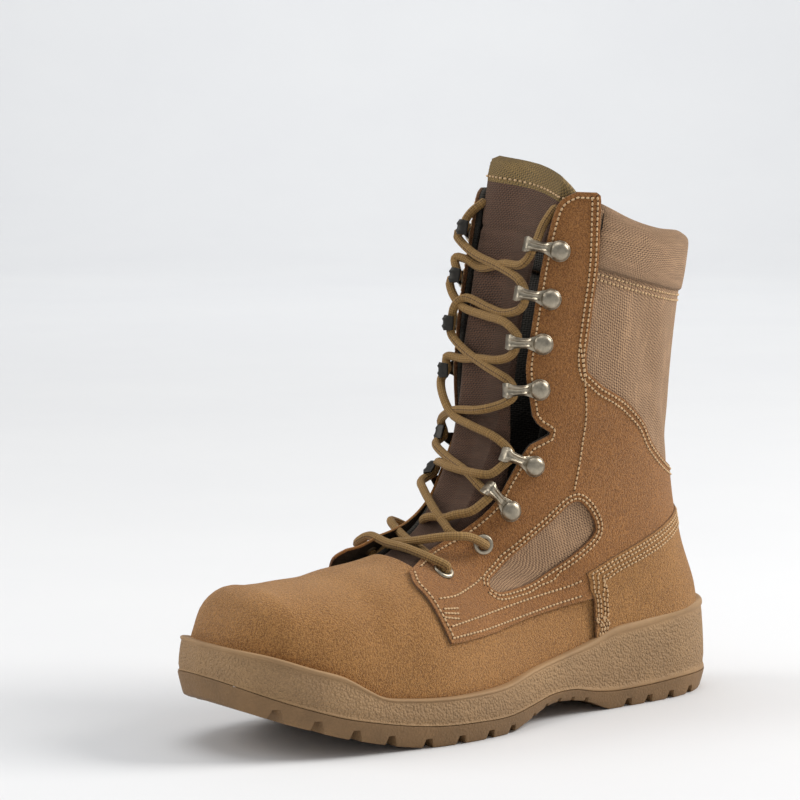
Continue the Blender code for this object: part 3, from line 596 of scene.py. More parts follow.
def new_group(name, takes, gives):
    """Node group with named sockets: {name: kind or default number}."""
    tree = bpy.data.node_groups.new(name, "ShaderNodeTree")
    for label, start in takes.items():
        kind = "NodeSocketVector" if start is None else "NodeSocketFloat"
        socket = tree.interface.new_socket(name=label, in_out="INPUT", socket_type=kind)
        if start is not None:
            socket.default_value = start
    for label in gives:
        tree.interface.new_socket(name=label, in_out="OUTPUT", socket_type="NodeSocketFloat")
    web = Web(tree)
    return web, web.node("NodeGroupInput").outputs, web.node("NodeGroupOutput").inputs


def nap_group():
    """Brushed suede: fine specks and fibres, and broad soft clouds where the nap lies over."""
    web, take, give = new_group("suede nap", {"Place": None, "Grain": 1.0}, ("Speck", "Cloud", "Height"))
    speck = web.noise(take["Place"], 1750, 1.0, .5)
    fibre = web.noise(take["Place"], 1250, 2, .7, (1, .85, .65))
    soft = web.noise(take["Place"], 75, 3, .55)
    cloud = web.noise(take["Place"], 19, 3, .5)
    web.put(web.ramp(web.plus(web.times(speck, .55), web.times(fibre, .45)), .41, .59), give["Speck"])
    web.put(web.ramp(web.plus(web.times(cloud, .7), web.times(soft, .3)), .32, .68), give["Cloud"])
    pile = web.plus(web.plus(web.times(speck, .5), web.times(fibre, .8)), web.times(soft, .3))
    web.put(web.times(pile, take["Grain"]), give["Height"])
    return web.tree


def weave_group():
    """Plain weave of round threads. Place runs along the cloth, in metres."""
    web, take, give = new_group("plain weave", {"Place": None, "Thread": .0006, "Slant": 45.0},
                                ("Height", "Thread", "Slub"))
    wander = web.vector("SUBTRACT", web.noise(take["Place"], 420, 1.0, gives="Color"), (.5, .5, .5))
    stray = web.vector("MULTIPLY", wander, (.0008, .0008, 0))
    turned = web.node("ShaderNodeVectorRotate", rotation_type="Z_AXIS")
    web.put(web.vector("ADD", take["Place"], stray), turned.inputs["Vector"])
    web.put(web.math("RADIANS", take["Slant"]), turned.inputs["Angle"])
    scaled = web.vector("SCALE", turned.outputs[0])
    web.put(web.math("DIVIDE", 1.0, take["Thread"]), scaled.node.inputs["Scale"])
    parts = web.node("ShaderNodeSeparateXYZ")
    web.put(scaled, parts.inputs[0])
    over, across = (web.math("SINE", web.times(parts.outputs[axis], math.pi)) for axis in (0, 1))
    twist, ribs = web.times(over, across), web.times(over, .3)
    height = web.plus(web.plus(web.times(twist, .6), ribs), .5)
    web.put(height, give["Height"])
    web.put(web.ramp(height, .1, .9), give["Thread"])
    web.put(web.noise(take["Place"], 55, 4, .6, (1, 5, 1)), give["Slub"])
    return web.tree


def pebble_group():
    """Moulded pebble grain of rubber."""
    web, take, give = new_group("pebble grain", {"Place": None, "Grain": 1.0}, ("Height", "Dust"))
    cells = web.node("ShaderNodeTexVoronoi", feature="SMOOTH_F1")
    web.put(take["Place"], cells.inputs["Vector"])
    cells.inputs["Scale"].default_value = 780
    cells.inputs["Smoothness"].default_value = .35
    rough = web.noise(take["Place"], 900, 2, .6)
    web.put(web.times(web.math("SUBTRACT", web.times(rough, .8), cells.outputs["Distance"]), take["Grain"]),
            give["Height"])
    web.put(web.ramp(web.noise(take["Place"], 30, 5, .65), .38, .66), give["Dust"])
    return web.tree


def braid_group():
    """Diagonal braid of a round cord. Place runs along and round it, in turns."""
    web, take, give = new_group("cord braid", {"Place": None}, ("Height", "Tracer"))
    parts = web.node("ShaderNodeSeparateXYZ")
    web.put(take["Place"], parts.inputs[0])
    along, around = parts.outputs[0], parts.outputs[1]
    right, left = (web.math("SINE", web.times(web.math(way, along, around), math.pi * 2))
                   for way in ("ADD", "SUBTRACT"))
    web.put(web.plus(web.times(web.times(right, left), .5), .5), give["Height"])
    web.put(web.ramp(web.math("SINE", web.times(around, math.pi * 2 / 3)), .86, .97), give["Tracer"])
    return web.tree


NAP, WEAVE, PEBBLE, BRAID = nap_group(), weave_group(), pebble_group(), braid_group()


def new_material(name, rough, metal=0.0, sheen=0.0):
    """A material with its roughness, metal and sheen set, its web, and the place on the piece."""
    material = bpy.data.materials.new(name)
    material.use_nodes = True
    web = Web(material.node_tree)
    shader = material.node_tree.nodes["Principled BSDF"]
    shader.inputs["Roughness"].default_value = rough
    shader.inputs["Metallic"].default_value = metal
    if sheen:
        shader.inputs["Sheen Weight"].default_value = sheen
        shader.inputs["Sheen Roughness"].default_value = .5
        shader.inputs["Sheen Tint"].default_value = (1, .78, .55, 1)
    return material, web, web.node("ShaderNodeTexCoord").outputs["Object"]


def flat_place(web):
    """Place along the cloth, in metres, from the piece's own sheet."""
    return web.node("ShaderNodeUVMap", uv_map="sheet").outputs["UV"]


def attribute(web, name):
    """A value that the piece's mesh carries."""
    return web.node("ShaderNodeAttribute", attribute_name=name).outputs["Fac"]


def toned(colour, by):
    """A colour made lighter or darker."""
    return tuple(min(1, part * by) for part in colour)


def suede(name, base, dark, light):
    """Brushed hide: dark between the fibres, light on their tips, with cut edges tinted by "edge": light where raw,
    dark as painted shade elsewhere.
    """
    material, web, place = new_material(name, .95, sheen=.3)
    nap = web.group(NAP, place=place, grain=1.0)
    colour = web.mix(nap["Cloud"], web.mix(.26, base, dark), web.mix(.22, base, light))
    colour = web.mix(web.times(web.rest_of(nap["Speck"]), .5), colour, dark)
    colour = web.mix(web.times(nap["Speck"], .32), colour, light)
    edge = attribute(web, "edge")
    colour = web.mix(web.times(web.math("MAXIMUM", edge, 0.0), .55), colour, light)
    # Painted shade along the cut edges that are not raw.
    colour = web.mix(web.times(web.math("MAXIMUM", web.times(edge, -1.0), 0.0), .8), colour, dark)
    web.surface(colour, web.bump(nap["Height"], 1.0, .0013))
    return material


def cloth(name, base, dark, thread=.00056, slant=40.0, strength=.9):
    """Woven cloth, dark between its threads, with a few lighter slubs."""
    material, web, _ = new_material(name, .82, sheen=.12)
    weave = web.group(WEAVE, place=flat_place(web), thread=thread, slant=slant)
    colour = web.mix(web.rest_of(weave["Thread"]), base, dark)
    colour = web.mix(web.times(web.ramp(weave["Slub"], .5, .75), .3), colour, toned(base, 1.35))
    web.surface(colour, web.bump(weave["Height"], strength, .0003))
    return material


def plain(name, base, dark, rough, grain=.3, scale=400, metal=0.0):
    """A finish with only a fine mottle of its own."""
    material, web, place = new_material(name, rough, metal)
    spots = web.noise(place, scale, 4, .6)
    web.surface(web.mix(web.ramp(spots, .3, .7), dark, base), web.bump(spots, grain, .0003))
    return material


def rubber(name, base, dark, grain, attribute_name=None):
    """Moulded rubber with dusty patches, and painted shade in the hollows of its grain. Its grain follows an
    attribute of the piece, if one is named.
    """
    material, web, place = new_material(name, .72)
    pebble = web.group(PEBBLE, place=place, grain=grain)
    height = pebble["Height"]
    if attribute_name:
        height = web.times(height, attribute(web, attribute_name))
    colour = web.mix(web.times(pebble["Dust"], .45), base, dark)
    # Painted shade: darker where the pebble grain lies low.
    colour = web.mix(web.times(web.ramp(height, -.25, .1), .4), web.mix(.35, colour, dark), colour)
    web.surface(colour, web.bump(height, .9, .0012))
    return material


def metal_finish():
    """Satin plating, a little worn."""
    material, web, place = new_material("champagne metal", .34, 1.0)
    worn, fine = web.noise(place, 260, 4, .65), web.noise(place, 1600, 2, .6)
    web.put(web.ramp(worn, -.4, 1.9), material.node_tree.nodes["Principled BSDF"].inputs["Roughness"])
    web.surface(web.mix(web.ramp(worn, .35, .65), toned(METAL, .6), METAL), web.bump(fine, .12, .0001))
    return material


def lace_finish():
    """Braided cord with a dark tracer strand."""
    material, web, _ = new_material("braided lace", .8, sheen=.15)
    braid = web.group(BRAID, place=flat_place(web))
    hollow = web.rest_of(braid["Height"])
    colour = web.mix(web.times(hollow, .6), LACE, LACE_DARK)
    colour = web.mix(web.times(braid["Tracer"], hollow), colour, LACE_DARK)
    web.surface(colour, web.bump(braid["Height"], .8, .0005))
    return material


SUEDE_FACE = suede("coyote suede", SUEDE, SUEDE_DARK, SUEDE_LIGHT)
# The quarters wear the vamp's suede, darkened as painted shade.
QUARTER_SHADED_FACE = suede("coyote suede with painted shade", *(tuple(np.array(tone) * QUARTER_SHADE_TONE)
                                              for tone in (SUEDE, SUEDE_DARK, SUEDE_LIGHT)))
NYLON_FACE = cloth("brown nylon", NYLON, NYLON_DARK)
# The tongue's nylon carries painted shadow in its darker colour.
TONGUE_SHADOWED_FACE = cloth("tongue nylon with painted shadow", TONGUE_NYLON_SHADOWED, toned(TONGUE_NYLON_SHADOWED, .12))
WEBBING = cloth("olive webbing", OLIVE, OLIVE_DARK, .0007, 20.0, .8)
LINING_FACE = cloth("dark lining", LINING, toned(LINING, .4), .0008)
MIDSOLE_FACE = rubber("midsole rubber", MIDSOLE, MIDSOLE_DUST_AND_SHADE, 1.0, "pebble")
OUTSOLE_FACE = rubber("outsole rubber", OUTSOLE, OUTSOLE_DUST_AND_SHADE, .25)
METAL_FACE = metal_finish()
LACE_FACE = lace_finish()
# Painted shade: near-black finish for the hooks' undersides and the medial hooks' rolled tips.
HOOK_SHADE = plain("hook underside painted shade", (.030, .026, .020), (.016, .014, .011), .42, .2, 700, .5)
THREAD_FACE = plain("tan thread", THREAD, toned(THREAD, .6), .7)
NEEDLE_SHADE_FACE = plain("needle holes", HOLE, toned(HOLE, .5), .95)

# ---------------------------------------------------------------- upper

THROAT_LINE = np.concatenate([smooth_line(THROAT_LOW), even_line([(20.5, 132), *THROAT_NOTCH, (25, 151)], 2)[1:-1],
                              smooth_line(THROAT_HIGH)])
CELL = 2.4
UNDER_CUFF = 3.0          # how far the upper's top edge lies under the cuff's
IN_SOLE = 8.0             # how far the upper reaches down inside the sole's lip
UNDER_COUNTER = 4.0       # how far the quarter runs on under the counter
BACKSTAY_HALF = 10.0      # half its width
BACKSTAY_ENDS = (212, 112)
UNDER_OVERLAYS = 3        # how far the nylon runs on under the suede's edges
# Where the upper is nylon: behind the strip and over the quarter
NYLON_AREA = ([(y - UNDER_OVERLAYS, z - UNDER_OVERLAYS) for y, z in (*STRIP_BACK, *QUARTER_BACK)]
              + [(180, 110), (180, 300), (54, 300)])
WINDOW_LINE = smooth_line(WINDOW + WINDOW[:1])[:-1]
QUARTER_FRONT_LINE = smooth_line(QUARTER_FRONT, 1.5)
QUARTER_LOW_LINE = smooth_line(QUARTER_LOW, 2.5)
STRIP_LINE = smooth_line(STRIP_BACK, 2.5)
QUARTER_BACK_LINE = smooth_line(QUARTER_BACK, 2.5)
COUNTER_TOP_LINE = smooth_line(COUNTER_TOP, 2.5)
STRIP_TOP_LINE = even_line((THROAT_HIGH[-1], STRIP_BACK[0]), 1)


def onto_sheet(line, side=1):
    """Sheet places of a side-view line, ended where it meets the middle of the back."""
    flat = to_sheet(line, side)
    past = np.abs(flat[:, 1]) > BACK_V - .5
    near = np.zeros(len(flat), bool)
    near[1:] |= ~past[:-1]
    near[:-1] |= ~past[1:]
    flat = flat[~past | near]
    flat[np.abs(flat[:, 1]) > BACK_V - .5, 1] = side * BACK_V
    return flat


def across_front(flat):
    """The other side of a sheet line, over the front ridge."""
    return flat[::-1] * (1, -1)


def across_back(flat):
    """The other side of a sheet line, round the back."""
    return flat[::-1] * (1, -1) + (0, 2 * BACK_V)


def sole_line(start, end, below, step=3.0):
    """Side-view line a little under the sole's lip."""
    ys = np.linspace(start, end, max(2, int(abs(end - start) / step)))
    return np.stack([ys, sole_height(ys, "lip") - below], -1)


def make_upper():
    """Wall of the upper: nylon above, suede at the front, dark lining inside."""
    collar = onto_sheet(smooth_line([(y, z - UNDER_CUFF) for y, z in COLLAR_TOP], 3))
    low = onto_sheet(sole_line(150, -146, IN_SOLE))
    half = np.concatenate([to_sheet(THROAT_LINE), collar, low, [(RUN[-1] - 1, low[-1][1])]])
    mesh = flat_panel([np.concatenate([half, across_front(half)])], CELL, ())
    rise = mesh.verts.layers.float["rise"]
    for vert in mesh.verts:
        vert[rise] = 1
    middles = on_form(np.array([face.calc_center_median().xy for face in mesh.faces]))
    bare = inside_line(NYLON_AREA, middles) | inside_line(WINDOW, middles, UNDER_OVERLAYS)
    for face, is_nylon in zip(mesh.faces, bare):
        face.material_index = int(not is_nylon)
    piece = lay(mesh, "upper_shell", 0, 0, [NYLON_FACE, SUEDE_FACE, LINING_FACE], WALL, inside=2)
    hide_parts("upper")


def inside_line(area, points, wider=0):
    """Which points lie, in side view, inside a closed line or within a few mm of it."""
    area = np.array(area, float)
    y, z = points[:, 1], points[:, 2]
    found, near = np.zeros(len(y), bool), np.full(len(y), 1e9)
    for (y0, z0), (y1, z1) in zip(area, np.roll(area, -1, 0)):
        crossed = (z0 > z) != (z1 > z)
        found ^= crossed & (y < (y1 - y0) * (z - z0) / (z1 - z0 + 1e-9) + y0)
        share = np.clip(((y - y0) * (y1 - y0) + (z - z0) * (z1 - z0)) / ((y1 - y0) ** 2 + (z1 - z0) ** 2), 0, 1)
        near = np.minimum(near, np.hypot(y - y0 - share * (y1 - y0), z - z0 - share * (z1 - z0)))
    return found | (near < wider)


def turns_left(ring):
    """Whether a closed sheet line runs anticlockwise."""
    after = np.roll(ring, -1, 0)
    return (ring[:, 0] * after[:, 1] - ring[:, 1] * after[:, 0]).sum() > 0


def with_window(outer, inner):
    """A sheet with a window in it, as two outlines that share two cuts."""
    if turns_left(outer) != turns_left(inner):
        inner = inner[::-1]
    ends = []
    for towards in (-1, 1):
        pick_in = int(np.argmax(inner[:, 0] * towards))
        pick_out = int(np.argmin(np.linalg.norm(outer - inner[pick_in], axis=1)
                                 + 50 * ((outer[:, 0] - inner[pick_in, 0]) * towards < 0)))
        ends.append((pick_out, pick_in))
    (out_a, in_a), (out_b, in_b) = ends

    def walk(ring, start, end):
        return np.roll(ring, -start, 0)[:(end - start) % len(ring) + 1]

    return [np.concatenate([walk(outer, out_a, out_b), walk(inner, in_a, in_b)[::-1]]),
            np.concatenate([walk(outer, out_b, out_a), walk(inner, in_b, in_a)[::-1]])]


def quarter_outline(side):
    """Throat, top of the strip, back edge, tucked edge under the counter, foot and front edge."""
    tucked = smooth_line([(y + UNDER_COUNTER, z - 1.5) for y, z in COUNTER_TOP[::-1]], 2.5)
    front = smooth_line([(y + UNDER_COUNTER, z - 1) for y, z in COUNTER_FRONT], 2)
    front = front[front[:, 1] > QUARTER_LOW[0][1] + 1]
    low = QUARTER_LOW_LINE[QUARTER_LOW_LINE[:, 0] < COUNTER_FRONT[0][0] + UNDER_COUNTER]
    return np.concatenate([to_sheet(THROAT_LINE[:-1], side), to_sheet(STRIP_TOP_LINE, side),
                           to_sheet(STRIP_LINE[1:], side), onto_sheet(QUARTER_BACK_LINE, side),
                           onto_sheet(tucked, side), to_sheet(front, side), to_sheet(low, side),
                           to_sheet(QUARTER_FRONT_LINE[1:], side)])


RAW_EDGE_TOP = 60                      # z under which the quarter's low edge is raw
RAW_THROAT, RAW_THROAT_BACK = (80, 134), 20


def low_edge(points):
    """Which points lie along the quarter's low edge over the sole, or its throat's low half."""
    y, z = points[:, 1], points[:, 2]
    low = (z < RAW_EDGE_TOP) & (y > QUARTER_LOW[-1][0] + .5) & (y < COUNTER_FRONT[0][0])
    return low | ((z > RAW_THROAT[0]) & (z < RAW_THROAT[1]) & (y < RAW_THROAT_BACK))


def make_quarter(name, side):
    """Suede quarter and facing strip in one, with its window."""
    mesh = flat_panel(with_window(quarter_outline(side), to_sheet(WINDOW_LINE, side)), CELL)
    piece = lay(mesh, f"{name}_suede", LAYER_FOOT, QUARTER_TOP, [QUARTER_SHADED_FACE, LINING_FACE], inside=1, raw=low_edge)
    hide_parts(name)


def make_counter():
    """Suede counter round the heel, over the quarters."""
    top = onto_sheet(COUNTER_TOP_LINE)
    rise = smooth_line(COUNTER_FRONT[::-1], 2)
    rise = rise[rise[:, 1] > sole_height(rise[:, 0], "lip")]
    front = to_sheet(rise)
    low = onto_sheet(sole_line(rise[0][0], 150, 2))
    sheet = np.concatenate([front, top, across_back(top)[1:], across_back(front), across_back(low[::-1]),
                            low[::-1][1:]])
    mesh = flat_panel([sheet], CELL)
    piece = lay(mesh, "counter_suede", QUARTER_TOP, COUNTER_TOP_FACE, SUEDE_FACE)
    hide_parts("counter")


def make_backstay():
    """Olive webbing down the middle of the back."""
    high, low = (to_sheet([(160, z)])[0][0] for z in BACKSTAY_ENDS)
    left, right = BACK_V - BACKSTAY_HALF, BACK_V + BACKSTAY_HALF
    mesh = flat_panel([np.array([(high, left), (high, right), (low, right), (low, left)])], CELL, SOFT_EDGE)
    piece = lay(mesh, "backstay_strip", LAYER_FOOT, BACKSTAY_TOP, WEBBING)
    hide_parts("backstay")


# ---------------------------------------------------------------- padded pieces

def shaped_grid(across, along, place, size, wrap=False):
    """A grid of cloth, each corner moved to place(a, b), with a and b from 0 to 1. size is the cloth's, in m."""
    mesh = bmesh.new()
    uv = mesh.loops.layers.uv.new("sheet")
    bmesh.ops.create_grid(mesh, x_segments=across, y_segments=along, size=.5, matrix=Matrix.Translation((.5, .5, 0)))
    for face in mesh.faces:
        for loop in face.loops:
            loop[uv].uv = (loop.vert.co.x * size[0], loop.vert.co.y * size[1])
    flat = np.array([vert.co[:2] for vert in mesh.verts])
    for vert, point in zip(mesh.verts, place(flat[:, 0], flat[:, 1])):
        vert.co = point * MM
    if wrap:
        bmesh.ops.remove_doubles(mesh, verts=mesh.verts, dist=1e-5)
        bmesh.ops.recalc_face_normals(mesh, faces=mesh.faces)
    return mesh


CUFF_FRONT_Y = 55.6      # tucked under the facing strip's rear edge
CUFF_TUCK = 3            # how much of its ends is lining, under the facings
HEEL_ROUND_Y = 105       # the cuff is round from here back
LINED_TURN = -.8         # faces turned this far towards the shaft's middle are lining
CUFF_CORE = -1.6         # height over the form that its padding swells from
CUFF_SIZE = (.22, .1)    # its cloth, m
# Round the cuff from its outside seam over the top to its inside: share of its height, height over the form
CUFF_PROFILE = np.array(((0, .1), (.015, .8), (.05, 1.35), (.16, 1.65), (.34, 1.8), (.6, 1.75), (.8, 1.6), (.9, 1.1),
                         (.965, -.2), (1.0, -2.1), (.985, -3.9), (.92, -5.2), (.8, -6.0), (.55, -6.4), (.3, -6.2),
                         (.12, -5.4), (.03, -4.2), (0, -2.7)), float)


def cuff_lift(v, height):
    """Soft puckers of the cuff's cloth: fine ones at the seam, broad ones over the padding."""
    fine = .16 * np.sin(v / 1.55 + 1.3 * np.sin(v / 9.7)) * np.exp(-(height / .16) ** 2)
    broad = .3 * np.sin(v / 7.9 + 2.0) * np.sin(v / 17.3 + height * 2.6 + .6)
    dents = -.6 * np.exp(-((v - 92) / 5) ** 2 - ((height - .62) / .3) ** 2)
    return (fine + broad + dents) * np.clip(height * 9, 0, 1)


def make_collar():
    """Padded nylon cuff, folded over the upper's top edge."""
    seam, top = onto_sheet(smooth_line(CUFF_SEAM, 2)), onto_sheet(smooth_line(COLLAR_TOP, 2))
    start = float(to_sheet([(CUFF_FRONT_Y, 240)])[0][1])
    profile = smooth_values(CUFF_PROFILE, np.linspace(0, len(CUFF_PROFILE) - 1, 400))

    def place(a, b):
        v = start + (2 * BACK_V - 2 * start) * a
        near = np.minimum(v, 2 * BACK_V - v)
        low, high = np.interp(near, seam[:, 1], seam[:, 0]), np.interp(near, top[:, 1], top[:, 0])
        share = np.interp(b, np.linspace(0, 1, 400), profile[:, 0])
        grow = np.interp(b, np.linspace(0, 1, 400), profile[:, 1])
        fade = np.clip((near - start) / 6, 0, 1)
        puff = .15 + .85 * np.sqrt(1 - (1 - fade) ** 2)
        grow = CUFF_CORE + (grow + cuff_lift(near, share) * (grow > -1) - CUFF_CORE) * puff
        rise = .5 * np.sin(near / 8.3) * np.sin(near / 21) * share
        return on_form(np.stack([low + (high - low) * share - rise * share, v], -1), grow)

    mesh = shaped_grid(120, 46, place, CUFF_SIZE)
    bmesh.ops.recalc_face_normals(mesh, faces=mesh.faces)
    for face in mesh.faces:
        middle = face.calc_center_median()
        away = Vector((middle.x, max(middle.y - HEEL_ROUND_Y * MM, 0), 0)).normalized()
        end = middle.y < (CUFF_FRONT_Y + CUFF_TUCK) * MM and face.normal.y < -.7
        face.material_index = 1 if end or face.normal.dot(away) < LINED_TURN else 0
    piece = finish_piece(mesh, "collar_cuff", [NYLON_FACE, LINING_FACE])
    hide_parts("collar")


# Rows of the tongue from its top down: station, tilt across, flatness, half its turn in degrees
TONGUE_ROWS = np.array(((.4, .16, .1, 54), (1, .10, .07, 53), (1.5, .03, .045, 54), (2.4, 0, .036, 54),
                        (3.4, 0, .036, 53), (4.2, 0, .036, 52), (5, 0, .036, 50), (6.5, 0, .034, 44),
                        (8.5, 0, .03, 38), (10.2, 0, .024, 36)), float)
TONGUE_TALL, TONGUE_WIDE = 220.0, 68.0
TONGUE_SIZE = (.068, .215)              # its cloth, m
TONGUE_MIDDLE = -WALL - 1.7 - 2.25      # of its thickness, over the form
TONGUE_HALF = 2.4                       # half its thickness
TONGUE_CORNER = 13.0                    # radius of its top corners
BINDING_TALL = 9.5
CROSS_SEAM = 30.0                       # under the tongue's top edge
# Share of its half turn that the tongue's lateral margin keeps, at mm under the top edge: the rest is tucked in
LATERAL_TUCK = np.array(((0, 1), (16, 1), (38, .42), (70, .46), (95, .53), (115, .66), (150, .85), (220, .9)))
TONGUE_DROOP = .085                     # of its corners under its middle, in stations
MEDIAL_BULGE = 1.1                      # how much closer to the wall its medial half lies


def tongue_spot(across, down, rise):
    """Point of the tongue: across from -1 to 1, mm down from its top edge, height over its middle layer."""
    row = smooth_values(TONGUE_ROWS, np.clip(down / TONGUE_TALL, 0, 1) * (len(TONGUE_ROWS) - 1))
    station, tilt, flat, half_turn = (row[..., column] for column in range(4))
    corner = np.clip((TONGUE_CORNER - down) / TONGUE_CORNER, 0, 1)
    across = across * (1 - (1 - np.sqrt(1 - corner ** 2)) * TONGUE_CORNER / (TONGUE_WIDE / 2))
    station = station + tilt * across + TONGUE_DROOP * np.exp(-(down / 30) ** 2) * (across ** 2 - .35)
    turn = across * np.radians(half_turn) * np.where(across > 0, np.interp(down, *LATERAL_TUCK.T), 1)
    medial = np.clip(-turn / math.radians(26), 0, 1)
    rise = rise + eased(medial) * (flare(station, np.minimum(turn, -1e-3)) + MEDIAL_BULGE)
    return plain_form(station, turn, TONGUE_MIDDLE + rise, flat)


def make_tongue():
    """Padded nylon tongue with a bound top edge and a seam across it."""
    rows = 150
    parts = []
    for face in (1, -1):
        def place(a, b, face=face):
            across, down = 2 * a - 1, (1 - b) * TONGUE_TALL
            puff = TONGUE_HALF * (1 - np.abs(across) ** 7) ** .5 * (1 - (2 * np.abs(b - .5)) ** 60) ** .5
            if face > 0:        # the face in front: its cross seam, its binding, and soft waves further down
                puff = puff * (1 - .3 * np.exp(-((down - CROSS_SEAM) / 1.6) ** 2))
                puff = puff + .35 * ((down < BINDING_TALL) & (np.abs(across) < .999))
                puff = puff + .3 * np.sin(down / 5.1 + 2 * across) * np.exp(-((down - 75) / 45) ** 2)
            return tongue_spot(across, down, face * puff)

        parts.append(shaped_grid(56, rows, place, TONGUE_SIZE))
    mesh = joined(parts)
    bmesh.ops.remove_doubles(mesh, verts=mesh.verts, dist=4e-5)
    bmesh.ops.recalc_face_normals(mesh, faces=mesh.faces)
    uv = mesh.loops.layers.uv["sheet"]
    for face in mesh.faces:
        down = (TONGUE_SIZE[1] - sum(loop[uv].uv.y for loop in face.loops) / len(face.loops)) / MM
        face.material_index = int(down < BINDING_TALL)
    piece = finish_piece(mesh, "tongue_pad", [TONGUE_SHADOWED_FACE, WEBBING])
    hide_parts("tongue")


def joined(meshes):
    """Several bmeshes in one."""
    whole = meshes[0]
    for mesh in meshes[1:]:
        data = kept_shape(mesh, "part")
        whole.from_mesh(data)
        bpy.data.meshes.remove(data)
    return whole


GUSSET_SPAN = (.2, .93)  # share of the tongue's length at which the gussets start and end
GUSSET_TURN = 12         # degrees that they reach beyond the tongue's edge
GUSSET_RISE, GUSSET_SAG = 3.6, 1.6
GUSSET_SIZE = (.02, .2)  # its cloth, m


def make_gussets():
    """Dark folds of cloth between the tongue's edges and the upper."""
    for side, side_name in ((1, "lateral"), (-1, "medial")):
        def place(a, b):
            row = smooth_values(TONGUE_ROWS, np.interp(b, (0, 1), GUSSET_SPAN) * (len(TONGUE_ROWS) - 1))
            station, tilt, flat, half_turn = (row[..., column] for column in range(4))
            turn = np.radians(half_turn + GUSSET_TURN * a - 1) * side
            grow = TONGUE_MIDDLE - 1 + GUSSET_RISE * a - GUSSET_SAG * np.sin(a * math.pi)
            grow = grow + .5 * np.sin(b * 31) * np.sin(a * math.pi)
            return plain_form(station + tilt * side, turn, grow, flat * (1 - a))

        mesh = shaped_grid(10, 80, place, GUSSET_SIZE)
        bmesh.ops.recalc_face_normals(mesh, faces=mesh.faces)
        bmesh.ops.solidify(mesh, geom=mesh.faces[:], thickness=.5 * MM)
        piece = finish_piece(mesh, f"gusset_{side_name}", LINING_FACE)


# ---------------------------------------------------------------- fittings

def hook_rows(side):
    """Hooks of one side, from the top down: rivet (y, z) and the way the arm points."""
    shift = MEDIAL_SHIFT if side < 0 else 0
    for y, z, along, up in HOOKS:
        length = math.hypot(along, up)
        yield y + up / length * shift, z - along / length * shift, along, up


# The pressed arm, mm: way from the rivet, height, width
HOOK_ARM = np.array(((-4.4, .6, 6), (0, .6, 8.6), (4.8, 1.1, 7), (8, 3, 5.2), (13, 4.2, 5.6), (16.4, 3.6, 7.8),
                     (17.8, -1.4, 7)), float)
SEAT = 1.1               # how high a fitting sits in its layer
HOOK_SHEET = .9          # thickness of the pressed sheet
NECK, NECK_HALF = 11.5, 4.6
ROLLED_TIP = 15.5        # way along the arm from which it rolls down
RIVET_PROFILE = ((0, 3.7), (1.2, 3.64), (2.4, 3.4), (3.4, 3.0), (4.2, 2.4), (4.75, 1.7), (4.95, 1.25), (5.0, 1.05),
                 (5.3, .95), (5.35, .5), (5.2, .1), (4.9, -.6), (0, -.6))
EYELET_PROFILE = ((2.6, -1.8), (2.6, .1), (2.75, .6), (3.2, .95), (3.9, 1.02), (4.6, .85), (5.05, .5), (5.2, .1),
                  (5.2, -.3), (3.2, -.3), (3.2, -1.8), (2.6, -1.8))
VENT_PROFILE = ((2.6, .1), (2.8, .9), (3.6, 1.2), (4.4, 1.0), (4.75, .3), (4.75, -.4))
SCREEN_PROFILE = ((0, .3), (2.75, .3), (2.75, -.3), (0, -.3))
VENT_HEIGHT = -.8        # of the vents over the form


def fitting_frame(y, z, side, grow, arm=(-1, 0)):
    """Placing matrix on the form at (y, z): local +Z outwards, +X along the arm's direction."""
    flat = to_sheet([(y, z)], side)[0]
    here = on_form(flat, grow)
    normal = np.cross(on_form(flat + (0, PROBE), grow) - here, on_form(flat + (PROBE, 0), grow) - here)
    normal = Vector(normal / (np.linalg.norm(normal) * np.sign(normal[0] * side)))
    along = Vector((-(arm[0] * normal.y + arm[1] * normal.z) / normal.x, *arm)).normalized()
    placing = Matrix((along, normal.cross(along), normal)).transposed().to_4x4()
    placing.translation = Vector(here) + normal * SEAT
    return placing


def turned(profile, steps=36):
    """A closed mesh turned about local Z from (radius, height) pairs, mm."""
    mesh = bmesh.new()
    corners = [mesh.verts.new((radius, 0, height)) for radius, height in profile]
    edges = [mesh.edges.new(pair) for pair in zip(corners, corners[1:])]
    bmesh.ops.spin(mesh, geom=corners + edges, axis=(0, 0, 1), cent=(0, 0, 0), steps=steps, angle=2 * math.pi,
                   use_merge=True)
    bmesh.ops.remove_doubles(mesh, verts=mesh.verts, dist=1e-4)
    bmesh.ops.recalc_face_normals(mesh, faces=mesh.faces)
    return mesh


